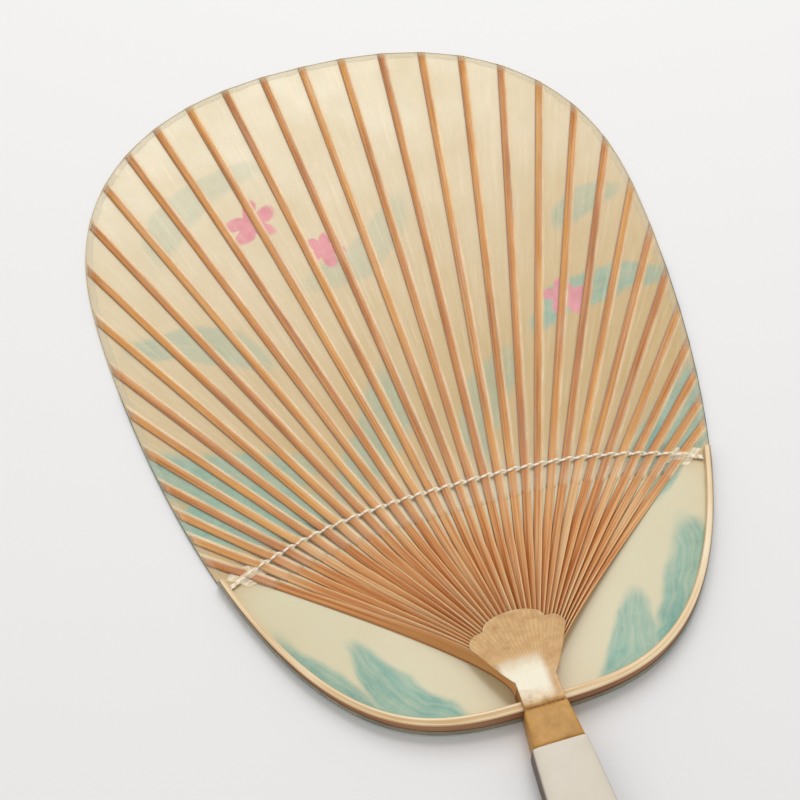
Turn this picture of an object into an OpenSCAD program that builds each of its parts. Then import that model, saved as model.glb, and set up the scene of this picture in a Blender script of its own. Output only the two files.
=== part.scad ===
// Round paper fan of split bamboo, lying on its front sheet with the ribs side up.
// X runs across the fan, Y from the handle towards the rim, Z up from the floor.
// The origin is the middle of the underside of the whole fan.
// Inside this file the fan is drawn with Y = 0 at the bow's lowest point, then moved to that origin.

/* [Face] */
// Width of the face at its widest line
face_w = 205; // [180:1:230]
// Height of the face from its widest line up to the rim
face_upper_h = 93.4; // [80:0.2:110]
// Height of the face from the bow's lowest point up to its widest line
face_lower_h = 188; // [175:0.5:200]
// Squareness of the outline above the widest line
upper_power = 2.35; // [2:0.05:2.8]
// Squareness of the outline below the widest line, measured across
lower_power_x = 3.15; // [2.6:0.05:3.5]
// Squareness of the outline below the widest line, measured along
lower_power_y = 1.75; // [1.6:0.05:2]

/* [Ribs] */
// Number of ribs split from the stock
rib_count = 33; // [25:2:33]
// Thickness of a rib
rib_t = 0.38; // [0.3:0.02:0.44]
// Width of a rib from the thread to the rim
rib_w = 3.05; // [2.4:0.05:3.6]
// Saw gap between two ribs at the neck
rib_gap = 0.03; // [0.03:0.01:0.06]
// Angle between the first and the last rib beyond the thread
fan_angle = 104.6; // [95:0.2:108]
// Distance from the neck over which a rib twists from upright to flat
twist_len = 80; // [65:1:84]
// Distance between a rib's tip and the edge of the face
tip_inset = 0.5; // [0.3:0.1:2]

/* [Thread] */
// Diameter of one of the thread's two strands
strand_d = 0.55; // [0.4:0.05:0.7]
// Height of the thread above the bow's lowest point, at the middle
thread_y = 86.8; // [80:0.2:95]
// How far the thread has dropped where it crosses the last rib
thread_drop = 12; // [8:0.5:16]
// Distance between the edge of the face and the thread's crossing of the last rib
thread_inset = 10.4; // [10:0.2:15]

/* [Neck stock] */
// Thickness of the unsplit neck stock
stock_t = 9.6; // [9:0.1:12]
// Height at which the split between the ribs ends
split_y = 8; // [6:0.5:12]
// Width of the stock at the handle
stock_low_w = 16.2; // [14:0.2:18]
// Length of the stock below the bow, as far as the handle
stock_low_len = 13; // [10:0.5:18]
// Width of the tang
tang_w = 9; // [6:0.5:11]
// Thickness of the tang
tang_t = 5; // [3:0.2:6]
// Length of the tang in the handle
tang_len = 34; // [20:1:60]

/* [Bow] */
// Width of the bow at the neck, seen from above
bow_mid_w = 3.5; // [2.5:0.1:4.5]
// Width of the bow at its ends
bow_end_w = 1.8; // [1.4:0.1:2.4]
// Depth of the bow at the neck
bow_mid_h = 7.6; // [6:0.1:8]
// Depth of the bow at its ends
bow_end_h = 3.2; // [2.6:0.1:4]
// Height of the bow's ends above its lowest point
bow_end_y = 74.5; // [70:0.5:80]
// Chamfer along the bow's upper edges
bow_chamfer = 0.5; // [0.2:0.1:0.8]

/* [Handle] */
// Length of the handle
handle_len = 96; // [80:1:130]
// Thickness of the handle
handle_t = 10.6; // [10:0.1:12]
// Width of the handle at the neck
handle_top_w = 18.2; // [17:0.2:20]
// Width of the handle at its free end
handle_end_w = 23; // [20:0.5:26]
// Width of the rounding along each side
handle_side_w = 3.7; // [2.5:0.1:4.5]
// Radius of the corners at the free end
handle_corner_r = 7; // [4:0.5:9]

/* [Paper] */
// Thickness of the front sheet
sheet_t = 0.2; // [0.15:0.05:0.3]
// Thickness of the thin sheet over the ribs
film_t = 0.12; // [0.1:0.02:0.2]
// How far the thin sheet reaches past the thread towards the neck
film_drop = 10.4; // [7:0.2:14]
// Thickness of the strip round the rim
strip_t = 0.15; // [0.1:0.05:0.2]
// Width of the strip's two folded edges
strip_w = 2.6; // [2:0.1:3.5]
// Thickness of the paper on the bow's outer side
edging_t = 0.2; // [0.15:0.05:0.3]
// Height of the paper on the bow's outer side
edging_h = 3; // [1.5:0.1:3.1]
// Thickness of the patch over the neck
patch_t = 0.25; // [0.15:0.05:0.4]
// Height of the top of the neck patch above the bow's lowest point
patch_top_y = 34.9; // [32:0.1:38]
// Half width of the middle lobe of the neck patch
lobe_w = 10.4; // [9:0.1:11]
// Half width of the whole neck patch
patch_w = 16.2; // [15:0.1:18]
// Thickness of the patch over each end of the thread
ear_t = 0.12; // [0.1:0.02:0.2]
// Length of the patch over each end of the thread
ear_len = 13; // [10:0.5:16]

/* [Band] */
// Thickness of the band round the neck
band_t = 0.35; // [0.2:0.05:0.4]
// Length of the band along the neck
band_len = 12.3; // [8:0.1:12.5]

/* [Levels and clearances] */
// Height of the front sheet above the floor
sheet_z = 0.6; // [0.4:0.05:1]
// Height of the stock above the floor
stock_z = 0.4; // [0.4:0.05:0.6]
// Clearance round the bow in its hole and round the tang in the handle
fit_gap = 0.1; // [0.05:0.01:0.15]
// Clearance between glued layers
glue_gap = 0.05; // [0.03:0.01:0.08]

/* [Hidden] */
// Sides of a strand
STRAND_SIDES = 6;
// Steps along the outlines, in degrees, and their parameter's end
OUTLINE_STEP = 2.5;
QUARTER = 90;
// Steps along a rib from the neck to the thread, and how closely they crowd at the neck
RIB_STEPS = 15;
rib_step_power = 1.3;
// Length of a rib's straight start, and of its straight run into the thread
root_run = 12;
thread_run = 52;
// Length over which a rib stays upright at the neck
upright_len = 3;
// How the depth of a rib fades from the neck to the thread
depth_power = 2.5;
// How the thread's line bends down to its ends
thread_power = 2.6;
// Distance over which the ribs come down to the sheet from the thread
lift_len = 12;
// Half width of the thin sheet's ridge over the thread, at its top and at its foot
ridge_top = 0.7;
ridge_foot = 3;
// How much nearer the neck the rib is looked at that the thin sheet clears
film_lead = 2;
// Part of the pitch on each side of a rib's middle where a strand stays fully above or below it
strand_hold = 0.36;
// How the handle's width eases along it
handle_ease = 3.3;
// Steps of the bisection that finds where a line meets the outline
SEARCH_STEPS = 24;

half_w = face_w / 2;
widest_y = face_lower_h;
last_k = (rib_count - 1) / 2;
root_pitch = rib_t + rib_gap;
neck_w = rib_count * root_pitch;
thread_span = 2 * (lower_point(low_angle(thread_y - thread_drop), 0).x - thread_inset);
thread_pitch = thread_span / (rib_count - 1);
lean_pitch = fan_angle / (rib_count - 1);
sheet_top = sheet_z + sheet_t;
stock_top = stock_z + stock_t;
root_depth = stock_top - sheet_top;
thread_lift = strand_d + 2 * glue_gap;
bow_out = edging_t + glue_gap;
bow_in = bow_out + bow_end_w + 2 * fit_gap;
film_gap = 2 * glue_gap;
handle_y = -stock_low_len - fit_gap;
handle_end_y = handle_y - handle_len;
rim_y = widest_y + face_upper_h + strip_t;
mid_y = (rim_y + handle_end_y) / 2;
tang_z = stock_z + (stock_t - tang_t) / 2;
// Angles along the lower outline, from the neck, of the bow's end and the strip's end
bow_end_angle = low_angle(bow_end_y);
strip_end_y = bow_end_y + ear_len - 1;
strip_end_angle = low_angle(strip_end_y);

function rib_name(i) = str("rib_", i < 10 ? "0" : "", i);

// Outline of the face

function upper_point(angle, out) = let (c = cos(angle), s = sin(angle), p = 2 / upper_power) [
    sign(c) * (half_w + out) * pow(abs(c), p),
    widest_y + (face_upper_h + out) * pow(s, p)
];

// Angle 0 is the bow's lowest point, and 90 the right end of the widest line
function lower_point(angle, out) = let (c = cos(angle), s = sin(angle)) [
    sign(s) * (half_w + out) * pow(abs(s), 2 / lower_power_x),
    widest_y - (face_lower_h + out) * pow(c, 2 / lower_power_y)
];

function low_angle(y) = acos(pow((widest_y - y) / face_lower_h, lower_power_y / 2));

function lower_normal(angle) = let (
    p = lower_point(angle, 0),
    fx = abs(p.x) / half_w,
    fy = (widest_y - p.y) / face_lower_h,
    n = [
        sign(p.x) * lower_power_x * pow(fx, lower_power_x - 1) / half_w,
        -lower_power_y * pow(fy, lower_power_y - 1) / face_lower_h
    ]
) n / norm(n);

function inside(p, out) = let (x = abs(p.x) / (half_w + out), dy = p.y - widest_y)
    dy >= 0 ? pow(x, upper_power) + pow(dy / (face_upper_h + out), upper_power) <= 1
    : pow(x, lower_power_x) + pow(-dy / (face_lower_h + out), lower_power_y) <= 1;

function steps_to(first, last, step) = let (n = ceil(abs(last - first) / step))
    [for (i = [0:n]) first + (last - first) * i / n];

// The outline from the right end over the rim to the left end, starting at an angle of the lower part
function rim_points(start, out) = concat(
    [for (a = steps_to(start, QUARTER, OUTLINE_STEP)) lower_point(a, out)],
    [for (a = steps_to(0, 180, OUTLINE_STEP)) if (a > 0 && a < 180) upper_point(a, out)],
    [for (a = steps_to(-QUARTER, -start, OUTLINE_STEP)) lower_point(a, out)]
);

function bow_points(end, out) = [for (a = steps_to(-end, end, OUTLINE_STEP)) lower_point(a, out)];

function reversed(list) = [for (i = [len(list) - 1:-1:0]) list[i]];

module band_of(outer, inner, z, h) {
    translate([0, 0, z])
        linear_extrude(h)
            polygon(concat(outer, reversed(inner)));
}

// Lines of the ribs

function thread_line(x) = [x, thread_y - thread_drop * pow(abs(x) / (thread_span / 2), thread_power)];
function crossing(k) = thread_line(k * thread_pitch);
function heading(k) = [sin(k * lean_pitch), cos(k * lean_pitch)];
function rightwards(way) = [way.y, -way.x];
function along(k, s, side = 0) = crossing(k) + s * heading(k) + side * rightwards(heading(k));

// How far past the thread a line beside rib k meets the outline
function reach(k, out, side = 0, low = 0, high = 400, n = SEARCH_STEPS) = let (mid = (low + high) / 2)
    n == 0 ? low
    : inside(along(k, mid, side), out) ? reach(k, out, side, mid, high, n - 1)
    : reach(k, out, side, low, mid, n - 1);

// Number, in pitches from the middle, at which the thread's line meets the bow
function thread_end(out, low, high, n = SEARCH_STEPS) = let (mid = (low + high) / 2)
    n == 0 ? low
    : inside(crossing(mid), out) ? thread_end(out, mid, high, n - 1)
    : thread_end(out, low, mid, n - 1);

function bezier(a, b, c, d, t) = let (u = 1 - t)
    u * u * u * a + 3 * u * u * t * b + 3 * u * t * t * c + t * t * t * d;
function bezier_heading(a, b, c, d, t) = let (
    u = 1 - t,
    v = u * u * (b - a) + 2 * u * t * (c - b) + t * t * (d - c)
) v / norm(v);

// Heights of the ribs above the front sheet

function neck_distance(p) = norm([max(0, abs(p.x) - neck_w / 2), p.y - split_y]);
function fade(p) = min(1, max(0, 1 - (neck_distance(p) - upright_len) / (twist_len - upright_len)));
function tilt(p) = 90 * fade(p);
function depth(p) = rib_w + (root_depth - rib_w) * pow(fade(p), depth_power);
function rise(p) = depth(p) * sin(tilt(p)) + rib_t * cos(tilt(p));
function ease(x) = let (c = min(1, max(0, x))) c * c * (3 - 2 * c);
function seat(s) = sheet_top + thread_lift * (1 - ease(abs(s) / lift_len));

// Joins rings of points into one closed skin, each ring counter-clockwise seen along the way.
// The two halves of a ring are split into triangles alike, so that facing sides stay parallel.
// A ring's end is closed by rungs from its first half to its second.

module skin(rings) {
    n = len(rings[0]);
    m = len(rings);
    sides = [
        for (i = [0:m - 2])
            for (j = [0:n - 1])
                let (a = i * n + j, b = i * n + (j + 1) % n, c = b + n, d = a + n)
                    each 2 * j < n ? [[a, b, c], [a, c, d]] : [[a, b, d], [b, c, d]]
    ];
    rungs = [for (j = [0:n / 2 - 2]) each [[j, j + 1, n - 2 - j], [j, n - 2 - j, n - 1 - j]]];
    polyhedron(
        [for (r = rings) for (p = r) p],
        concat([for (f = rungs) reversed(f)], sides, [for (f = rungs) [for (j = f) (m - 1) * n + j]])
    );
}

// A ring across a line: offsets are pairs of a distance to the right and a height
function ring_at(p, way, offsets) = [
    for (o = offsets) [p.x + way.y * o[0], p.y - way.x * o[0], o[1]]
];

module in_frame() {
    translate([0, -mid_y, 0])
        children();
}

// One slat of the ribs: its left edge rests on the sheet and its right edge is raised

function slat(p, s) = let (
    a = tilt(p),
    w = depth(p) / 2,
    t = rib_t / 2,
    z = seat(s) + w * sin(a) + t * cos(a)
) [
    for (q = [[-w, -t], [w, -t], [w, t], [-w, t]])
        [q[0] * cos(a) - q[1] * sin(a), z + q[0] * sin(a) + q[1] * cos(a)]
];

// The tip is cut along the outline, so each corner has its own reach
function rib_tip(k, s) = [
    for (q = slat(along(k, s), s))
        let (p = along(k, reach(k, -tip_inset, q[0]), q[0])) [p.x, p.y, q[1]]
];

module rib(number) {
    k = number - 1 - last_k;
    root = [k * root_pitch, split_y];
    cross = crossing(k);
    b = root + [0, root_run];
    c = cross - thread_run * heading(k);
    short = min(reach(k, -tip_inset, -rib_w / 2), reach(k, -tip_inset, rib_w / 2));
    near = min(lift_len, 0.9 * short);
    color(number % 2 == 0 ? "#C98A52" : "#D19A62")
        in_frame()
            skin(concat(
                [
                    for (i = [0:RIB_STEPS])
                        let (t = pow(i / RIB_STEPS, rib_step_power), p = bezier(root, b, c, cross, t))
                            ring_at(p, bezier_heading(root, b, c, cross, t), slat(p, norm(cross - p)))
                ],
                [
                    for (s = [near / 4, near / 2, near * 3 / 4, near])
                        ring_at(along(k, s), heading(k), slat(along(k, s), s))
                ],
                [rib_tip(k, short)]
            ));
}

// Neck

module stock_plan(out) {
    polygon([
        [-neck_w / 2 - out, split_y],
        [-neck_w / 2 - out, 0],
        [-stock_low_w / 2 - out, -stock_low_len],
        [stock_low_w / 2 + out, -stock_low_len],
        [neck_w / 2 + out, 0],
        [neck_w / 2 + out, split_y]
    ]);
}

module bow_hole() {
    translate([-neck_w, bow_out - fit_gap, sheet_top - fit_gap])
        cube([2 * neck_w, bow_mid_w + 2 * fit_gap, bow_mid_h + 2 * fit_gap]);
}

module neck_stock() {
    color("#B9783F")
        in_frame()
            difference() {
                union() {
                    translate([0, 0, stock_z])
                        linear_extrude(stock_t)
                            stock_plan(0);
                    translate([-tang_w / 2, -stock_low_len - tang_len, tang_z])
                        cube([tang_w, tang_len + 1, tang_t]);
                }
                bow_hole();
            }
}

module neck_band() {
    color("#C8994E")
        in_frame()
            intersection() {
                difference() {
                    translate([0, 0, stock_z - glue_gap - band_t])
                        linear_extrude(stock_t + 2 * glue_gap + 2 * band_t)
                            stock_plan(glue_gap + band_t);
                    translate([0, 0, stock_z - glue_gap])
                        linear_extrude(stock_t + 2 * glue_gap)
                            band_opening();
                }
                translate([-stock_low_w, -stock_low_len, 0])
                    cube([2 * stock_low_w, band_len, 2 * stock_top]);
            }
}

// The band's opening, longer than the band at both ends
module band_opening() {
    slope = (stock_low_w - neck_w) / 2 / stock_low_len;
    low = neck_w / 2 + glue_gap + slope * 2 * stock_low_len;
    top = neck_w / 2 + glue_gap;
    polygon([
        [-top, split_y + 1],
        [-top, 0],
        [-low, -2 * stock_low_len],
        [low, -2 * stock_low_len],
        [top, 0],
        [top, split_y + 1]
    ]);
}

// The patch is drawn in strips along the fan, each from its left to its right edge

patch_low_y = 0.3;
patch_flare_y = 9.2;
patch_side_y = 25.5;
patch_shoulder_y = 30;
patch_flare_power = 0.83;
patch_columns = 12;
patch_crown = 0.12;
side_lobe_r = patch_shoulder_y - patch_side_y;
function patch_half(y) = let (flare = (y - patch_flare_y) / (patch_side_y - patch_flare_y))
    y <= patch_flare_y ? neck_w / 2
    : y <= patch_side_y ? neck_w / 2 + (patch_w - neck_w / 2) * pow(flare, patch_flare_power)
    : y < patch_shoulder_y ? max(lobe_w, patch_w - side_lobe_r + round_run(y - patch_side_y, side_lobe_r))
    : lobe_w * round_run(y - patch_shoulder_y, patch_top_y - patch_shoulder_y)
        / (patch_top_y - patch_shoulder_y);
function round_run(y, r) = sqrt(max(0.04, r * r - y * y));
function patch_z(p) = glue_gap + patch_crown * (1 - pow(p.x / patch_w, 2))
    + (p.y <= split_y ? stock_top : sheet_top + rise(p));

function patch_ring(y) = let (
    half = patch_half(y),
    row = [for (i = [0:patch_columns]) [half * (2 * i / patch_columns - 1), y]]
) concat(
    [for (p = row) [p.x, p.y, patch_z(p)]],
    [for (p = reversed(row)) [p.x, p.y, patch_z(p) + patch_t]]
);

module neck_patch() {
    top_h = patch_top_y - patch_shoulder_y;
    rows = concat(
        [patch_low_y],
        steps_to(patch_flare_y, patch_side_y, 2.4),
        [for (f = [0.35, 0.65, 0.85, 0.97]) patch_side_y + f * side_lobe_r],
        [for (f = [0, 0.35, 0.65, 0.85, 0.97]) patch_shoulder_y + f * top_h]
    );
    color("#D8BE92")
        in_frame()
            skin([for (y = rows) patch_ring(y)]);
}

// Bow and the paper on its outer side

function bow_section(angle) = let (
    g = abs(angle) / bow_end_angle,
    w = bow_mid_w + (bow_end_w - bow_mid_w) * g,
    top = sheet_top + bow_mid_h + (bow_end_h - bow_mid_h) * g,
    c = bow_chamfer
) [
    [0, sheet_top], [0, top - c], [-c, top], [c - w, top], [-w, top - c], [-w, sheet_top]
];

module bow() {
    color("#E8CFA4")
        in_frame()
            skin([
                for (a = steps_to(-bow_end_angle, bow_end_angle, OUTLINE_STEP))
                    let (n = lower_normal(a), p = lower_point(a, 0) - bow_out * n)
                        ring_at(p, [-n.y, n.x], bow_section(a))
            ]);
}

module bow_edging() {
    color("#7F7359")
        in_frame()
            difference() {
                band_of(bow_points(bow_end_angle, -edging_t), bow_points(bow_end_angle, 0),
                    sheet_top, edging_h);
                translate([-neck_w / 2 - fit_gap, -1, 0])
                    cube([neck_w + 2 * fit_gap, split_y, 2 * stock_top]);
            }
}

// Sheets

module front_sheet() {
    color("#CFC2A2")
        in_frame()
            difference() {
                translate([0, 0, sheet_z])
                    linear_extrude(sheet_t)
                        polygon(rim_points(0, -glue_gap));
                translate([-neck_w / 2 - fit_gap, -1, 0])
                    cube([neck_w + 2 * fit_gap, split_y + 1 + fit_gap, 2 * stock_top]);
            }
}

// Underside of the thin sheet at a place on the line of rib k, s past the thread
function film_z(k, s) = seat(s) + rise(along(k, s - film_lead)) + film_gap
    + (strand_d + 2 * glue_gap) * min(1, max(0, (ridge_foot - abs(s)) / (ridge_foot - ridge_top)));
// The thin sheet stays inside the bow where it passes the last rib
film_end_k = last_k + 1;
function film_reach(k) = reach(k, abs(k) > last_k ? -bow_in : -glue_gap);
function film_rows(k) = let (far = max(ridge_foot + 1, film_reach(k)) - ridge_foot) concat(
    [-film_drop, -film_drop / 2, -ridge_foot, -ridge_top, ridge_top, ridge_foot],
    [for (f = [0.1, 0.25, 0.6, 1]) ridge_foot + far * f]
);

function film_ring(k) = let (rows = film_rows(k)) concat(
    [for (s = reversed(rows)) [along(k, s).x, along(k, s).y, film_z(k, s)]],
    [for (s = rows) [along(k, s).x, along(k, s).y, film_z(k, s) + film_t]]
);

module back_sheet() {
    color([0.93, 0.89, 0.77, 0.55])
        in_frame()
            skin([for (k = [-film_end_k:1:film_end_k]) film_ring(k)]);
}

strip_low_z = sheet_z - glue_gap;
strip_high_z = sheet_top + rib_t + film_gap + film_t + glue_gap;

module rim_strip() {
    color("#EADDB4")
        in_frame()
            difference() {
                band_of(rim_points(strip_end_angle, strip_t), rim_points(strip_end_angle, -strip_w),
                    strip_low_z - strip_t, strip_high_z - strip_low_z + 2 * strip_t);
                band_of(rim_points(strip_end_angle - 1, 0), rim_points(strip_end_angle - 1, -2 * strip_w),
                    strip_low_z, strip_high_z - strip_low_z);
            }
}

// Thread: the two strands change sides between the ribs, one over each rib and one under it

strand_mid_z = seat(0) + rib_t / 2;
strand_swing_z = rib_t / 2 + strand_d / 2 + glue_gap;
strand_swing_y = strand_d / 2 + glue_gap;
strand_end_k = thread_end(-bow_in, last_k, 2 * last_k);
strand_places = concat(
    [-strand_end_k, -last_k - 0.5],
    [for (k = [-last_k:last_k]) each [k - strand_hold, k, k + strand_hold, k + 0.5]],
    [strand_end_k]
);
// 1 above a rib, 0 between two ribs and -1 under a rib, at k pitches from the middle
function strand_level(k) = let (from_rib = abs(k - round(k)))
    abs(k) > last_k + 0.4 || from_rib > 0.4 ? 0 : round(k) % 2 == 0 ? 1 : -1;

module strand(side) {
    skin([
        for (k = strand_places)
            let (
                turn = 180 * min(last_k + 0.5, max(-last_k - 0.5, k)),
                p = crossing(k) + [0, side * strand_swing_y * sin(turn)],
                way = crossing(k + 0.1) - crossing(k - 0.1),
                z = strand_mid_z + side * strand_swing_z * strand_level(k)
            )
                ring_at(p, way / norm(way), [
                    for (j = [0:STRAND_SIDES - 1])
                        let (b = (j + 0.5) * 360 / STRAND_SIDES)
                            [strand_d / 2 * cos(b), z + strand_d / 2 * sin(b)]
                ])
    ]);
}

module thread_over() {
    color("#F2E6CC")
        in_frame()
            strand(1);
}

module thread_under() {
    color("#E6D6B4")
        in_frame()
            strand(-1);
}

// Small patches over the ends of the thread, drawn on the right and mirrored.
// Their width and their distance from the bow are in pitches of the ribs.

ear_w = 1.6;
ear_inset = 0.65;
ear_last_k = strand_end_k - ear_inset;
module ear_patch() {
    rows = [-ear_len / 3, 0, ear_len / 3];
    skin([
        for (k = [ear_last_k - ear_w, ear_last_k - ear_w / 2, ear_last_k])
            let (z = film_z(k, 0) + film_t + glue_gap) concat(
                [for (s = reversed(rows)) [along(k, s).x, along(k, s).y, z]],
                [for (s = rows) [along(k, s).x, along(k, s).y, z + ear_t]]
            )
    ]);
}

module ear_patch_left() {
    color("#E9E0C4")
        in_frame()
            mirror([1, 0, 0])
                ear_patch();
}

module ear_patch_right() {
    color("#E9E0C4")
        in_frame()
            ear_patch();
}

// Handle

handle_steps = [0, 0.04, 0.09, 0.15, 0.22, 0.32, 0.46, 0.62, 0.8];
corner_steps = [0, 0.3, 0.55, 0.75, 0.9, 1];
function handle_half(y) = let (v = (handle_y - y) / handle_len)
    (handle_top_w + (handle_end_w - handle_top_w) * (1 - pow(1 - v, handle_ease))) / 2;
corner_y = handle_end_y + handle_corner_r;
handle_rings = concat(
    [for (f = handle_steps) let (y = handle_y + (corner_y - handle_y) * f) [y, handle_half(y)]],
    [
        for (f = corner_steps)
            let (y = corner_y - handle_corner_r * f)
                [y, handle_half(y) - handle_corner_r * (1 - sqrt(1 - f * f))]
    ]
);

// A flat top and underside joined by half ellipses
function handle_section(half) = let (side = min(handle_side_w, 0.9 * half), h = handle_t / 2) concat(
    [for (a = [-90:22.5:90]) [half - side + side * cos(a), h + h * sin(a)]],
    [for (a = [90:22.5:270]) [side - half + side * cos(a), h + h * sin(a)]]
);

module handle_grip() {
    color("#ECE6DA")
        in_frame()
            difference() {
                skin([for (r = reversed(handle_rings)) ring_at([0, r[0]], [0, 1], handle_section(r[1]))]);
                translate([
                    -tang_w / 2 - fit_gap, -stock_low_len - tang_len - fit_gap, tang_z - fit_gap
                ])
                    cube([tang_w + 2 * fit_gap, tang_len + 1, tang_t + 2 * fit_gap]);
            }
}

handle_grip();
neck_stock();
neck_band();
neck_patch();
bow();
bow_edging();
front_sheet();
back_sheet();
rim_strip();
thread_over();
thread_under();
ear_patch_left();
ear_patch_right();
for (i = [1:rib_count]) rib(i);
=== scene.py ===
"""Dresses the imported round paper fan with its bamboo, thread, papers and lacquer, on a pale floor."""

import logging
import math
from dataclasses import dataclass
from enum import Enum
from typing import Any, Iterable, Sequence

import bmesh
import bpy
import numpy as np
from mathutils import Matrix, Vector

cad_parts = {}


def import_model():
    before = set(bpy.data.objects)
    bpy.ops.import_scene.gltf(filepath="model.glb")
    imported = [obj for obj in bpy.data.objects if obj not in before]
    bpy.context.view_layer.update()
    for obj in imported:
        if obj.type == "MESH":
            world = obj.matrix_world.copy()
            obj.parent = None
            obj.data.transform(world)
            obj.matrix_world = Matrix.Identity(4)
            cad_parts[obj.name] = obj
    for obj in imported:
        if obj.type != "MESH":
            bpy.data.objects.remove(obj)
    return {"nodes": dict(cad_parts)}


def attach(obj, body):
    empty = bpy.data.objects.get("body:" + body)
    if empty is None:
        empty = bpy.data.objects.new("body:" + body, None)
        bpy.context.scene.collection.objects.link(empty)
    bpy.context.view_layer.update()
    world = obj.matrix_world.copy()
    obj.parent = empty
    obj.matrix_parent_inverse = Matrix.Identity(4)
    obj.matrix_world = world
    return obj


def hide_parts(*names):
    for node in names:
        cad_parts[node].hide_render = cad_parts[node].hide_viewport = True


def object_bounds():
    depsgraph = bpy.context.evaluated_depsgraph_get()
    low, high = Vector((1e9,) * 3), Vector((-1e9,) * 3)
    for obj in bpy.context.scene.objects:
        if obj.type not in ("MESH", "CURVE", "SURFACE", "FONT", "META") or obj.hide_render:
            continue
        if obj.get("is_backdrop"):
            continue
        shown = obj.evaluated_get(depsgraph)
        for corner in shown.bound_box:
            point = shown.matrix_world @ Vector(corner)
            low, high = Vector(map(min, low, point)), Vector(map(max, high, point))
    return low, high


LOG = logging.getLogger("paper_fan")
MM = 0.001
BODY = "root"
FULL_TURN = 2 * math.pi
RIGHT = np.array([1.0, 0.0, 0.0])
UP = np.array([0.0, 0.0, 1.0])


# ---------------------------------------------------------------- nodes and colours


def to_linear(code: str) -> tuple[float, float, float, float]:
    """Turns an sRGB hex colour into Blender's linear colour.

    Args:
        code: The colour as six hex digits after a hash.

    Returns:
        Red, green, blue and an alpha of one.
    """
    parts = [int(code[i : i + 2], 16) / 255 for i in (1, 3, 5)]
    line = [p / 12.92 if p <= 0.04045 else ((p + 0.055) / 1.055) ** 2.4 for p in parts]
    return (line[0], line[1], line[2], 1.0)


def connect(tree: Any, node: Any, *feeds: Any, **named: Any) -> None:
    """Feeds a node's inputs.

    A Map Range's inputs are the value, the span that it reads and the span that it gives, which is
    0 to 1 where it is left out. A Mix's are the amount, what lies below and what lies on top.

    Args:
        tree: The node's tree.
        node: The node.
        *feeds: What feeds its first inputs in use: a value, a hex colour, an output, or a node
            whose first output in use feeds it.
        **named: What feeds inputs by name, with underscores for spaces.
    """
    inputs = list(zip((socket for socket in node.inputs if socket.enabled), feeds))
    inputs += [(node.inputs[name.replace("_", " ")], value) for name, value in named.items()]
    for socket, value in inputs:
        if isinstance(value, bpy.types.Node):
            value = next(output for output in value.outputs if output.enabled)
        if isinstance(value, bpy.types.NodeSocket):
            tree.links.new(value, socket)
        else:
            coloured = isinstance(value, str) and value.startswith("#")
            socket.default_value = to_linear(value) if coloured else value


def add_node(tree: Any, kind: str, *feeds: Any, **named: Any) -> Any:
    """Adds one node with its settings and links.

    Args:
        tree: The node tree that it joins.
        kind: Blender's name for the node, which for a shader node is given without "ShaderNode".
            A word after it is the node's operation.
        *feeds: What feeds its first inputs in use, as in connect.
        **named: Its settings, and under names with a capital letter what feeds other inputs.

    Returns:
        The new node.
    """
    kind, _, operation = kind.partition(" ")
    node = tree.nodes.new(kind if "Node" in kind else f"ShaderNode{kind}")
    settings = {name: value for name, value in named.items() if name[0].islower()}
    if operation:
        settings["operation"] = operation
    for name, value in settings.items():
        setattr(node, name, value)
    connect(tree, node, *feeds, **{name: named[name] for name in named if name not in settings})
    return node


def set_ramp(node: Any, stops: Iterable[tuple[float, str]]) -> Any:
    """Writes a colour ramp's stops.

    Args:
        node: The colour ramp node.
        stops: Places from 0 to 1 with their hex colours.

    Returns:
        The node.
    """
    stops = list(stops)
    marks = node.color_ramp.elements
    while len(marks) < len(stops):
        marks.new(0.5)
    for mark, (place, code) in zip(marks, stops):
        mark.position = place
        mark.color = to_linear(code)
    return node


def lay_over(tree: Any, ground: Any, layers: Iterable[tuple[Any, Any]]) -> Any:
    """Lays colours over a ground, one after the other.

    Args:
        tree: The node tree.
        ground: The colour below, or what gives it.
        layers: For each colour on top, how much of it shows, and the colour.

    Returns:
        The node with the mixed colour, or the ground where there are no layers.
    """
    for amount, tone in layers:
        ground = add_node(tree, "Mix", amount, ground, tone, data_type="RGBA")
    return ground


def start_material(name: str) -> tuple[Any, Any, Any]:
    """Makes a material.

    Args:
        name: The name of the real one.

    Returns:
        The material, its node tree and its shader.
    """
    material = bpy.data.materials.new(name)
    material.use_nodes = True
    tree = material.node_tree
    return material, tree, tree.nodes["Principled BSDF"]


def add_object(name: str, data: Any) -> Any:
    """Puts a piece, a light or a camera into the scene.

    Args:
        name: Its name.
        data: Its mesh, light or camera data.

    Returns:
        The new object.
    """
    made = bpy.data.objects.new(name, data)
    bpy.context.scene.collection.objects.link(made)
    return made


# ---------------------------------------------------------------- the fan's own lines


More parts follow.
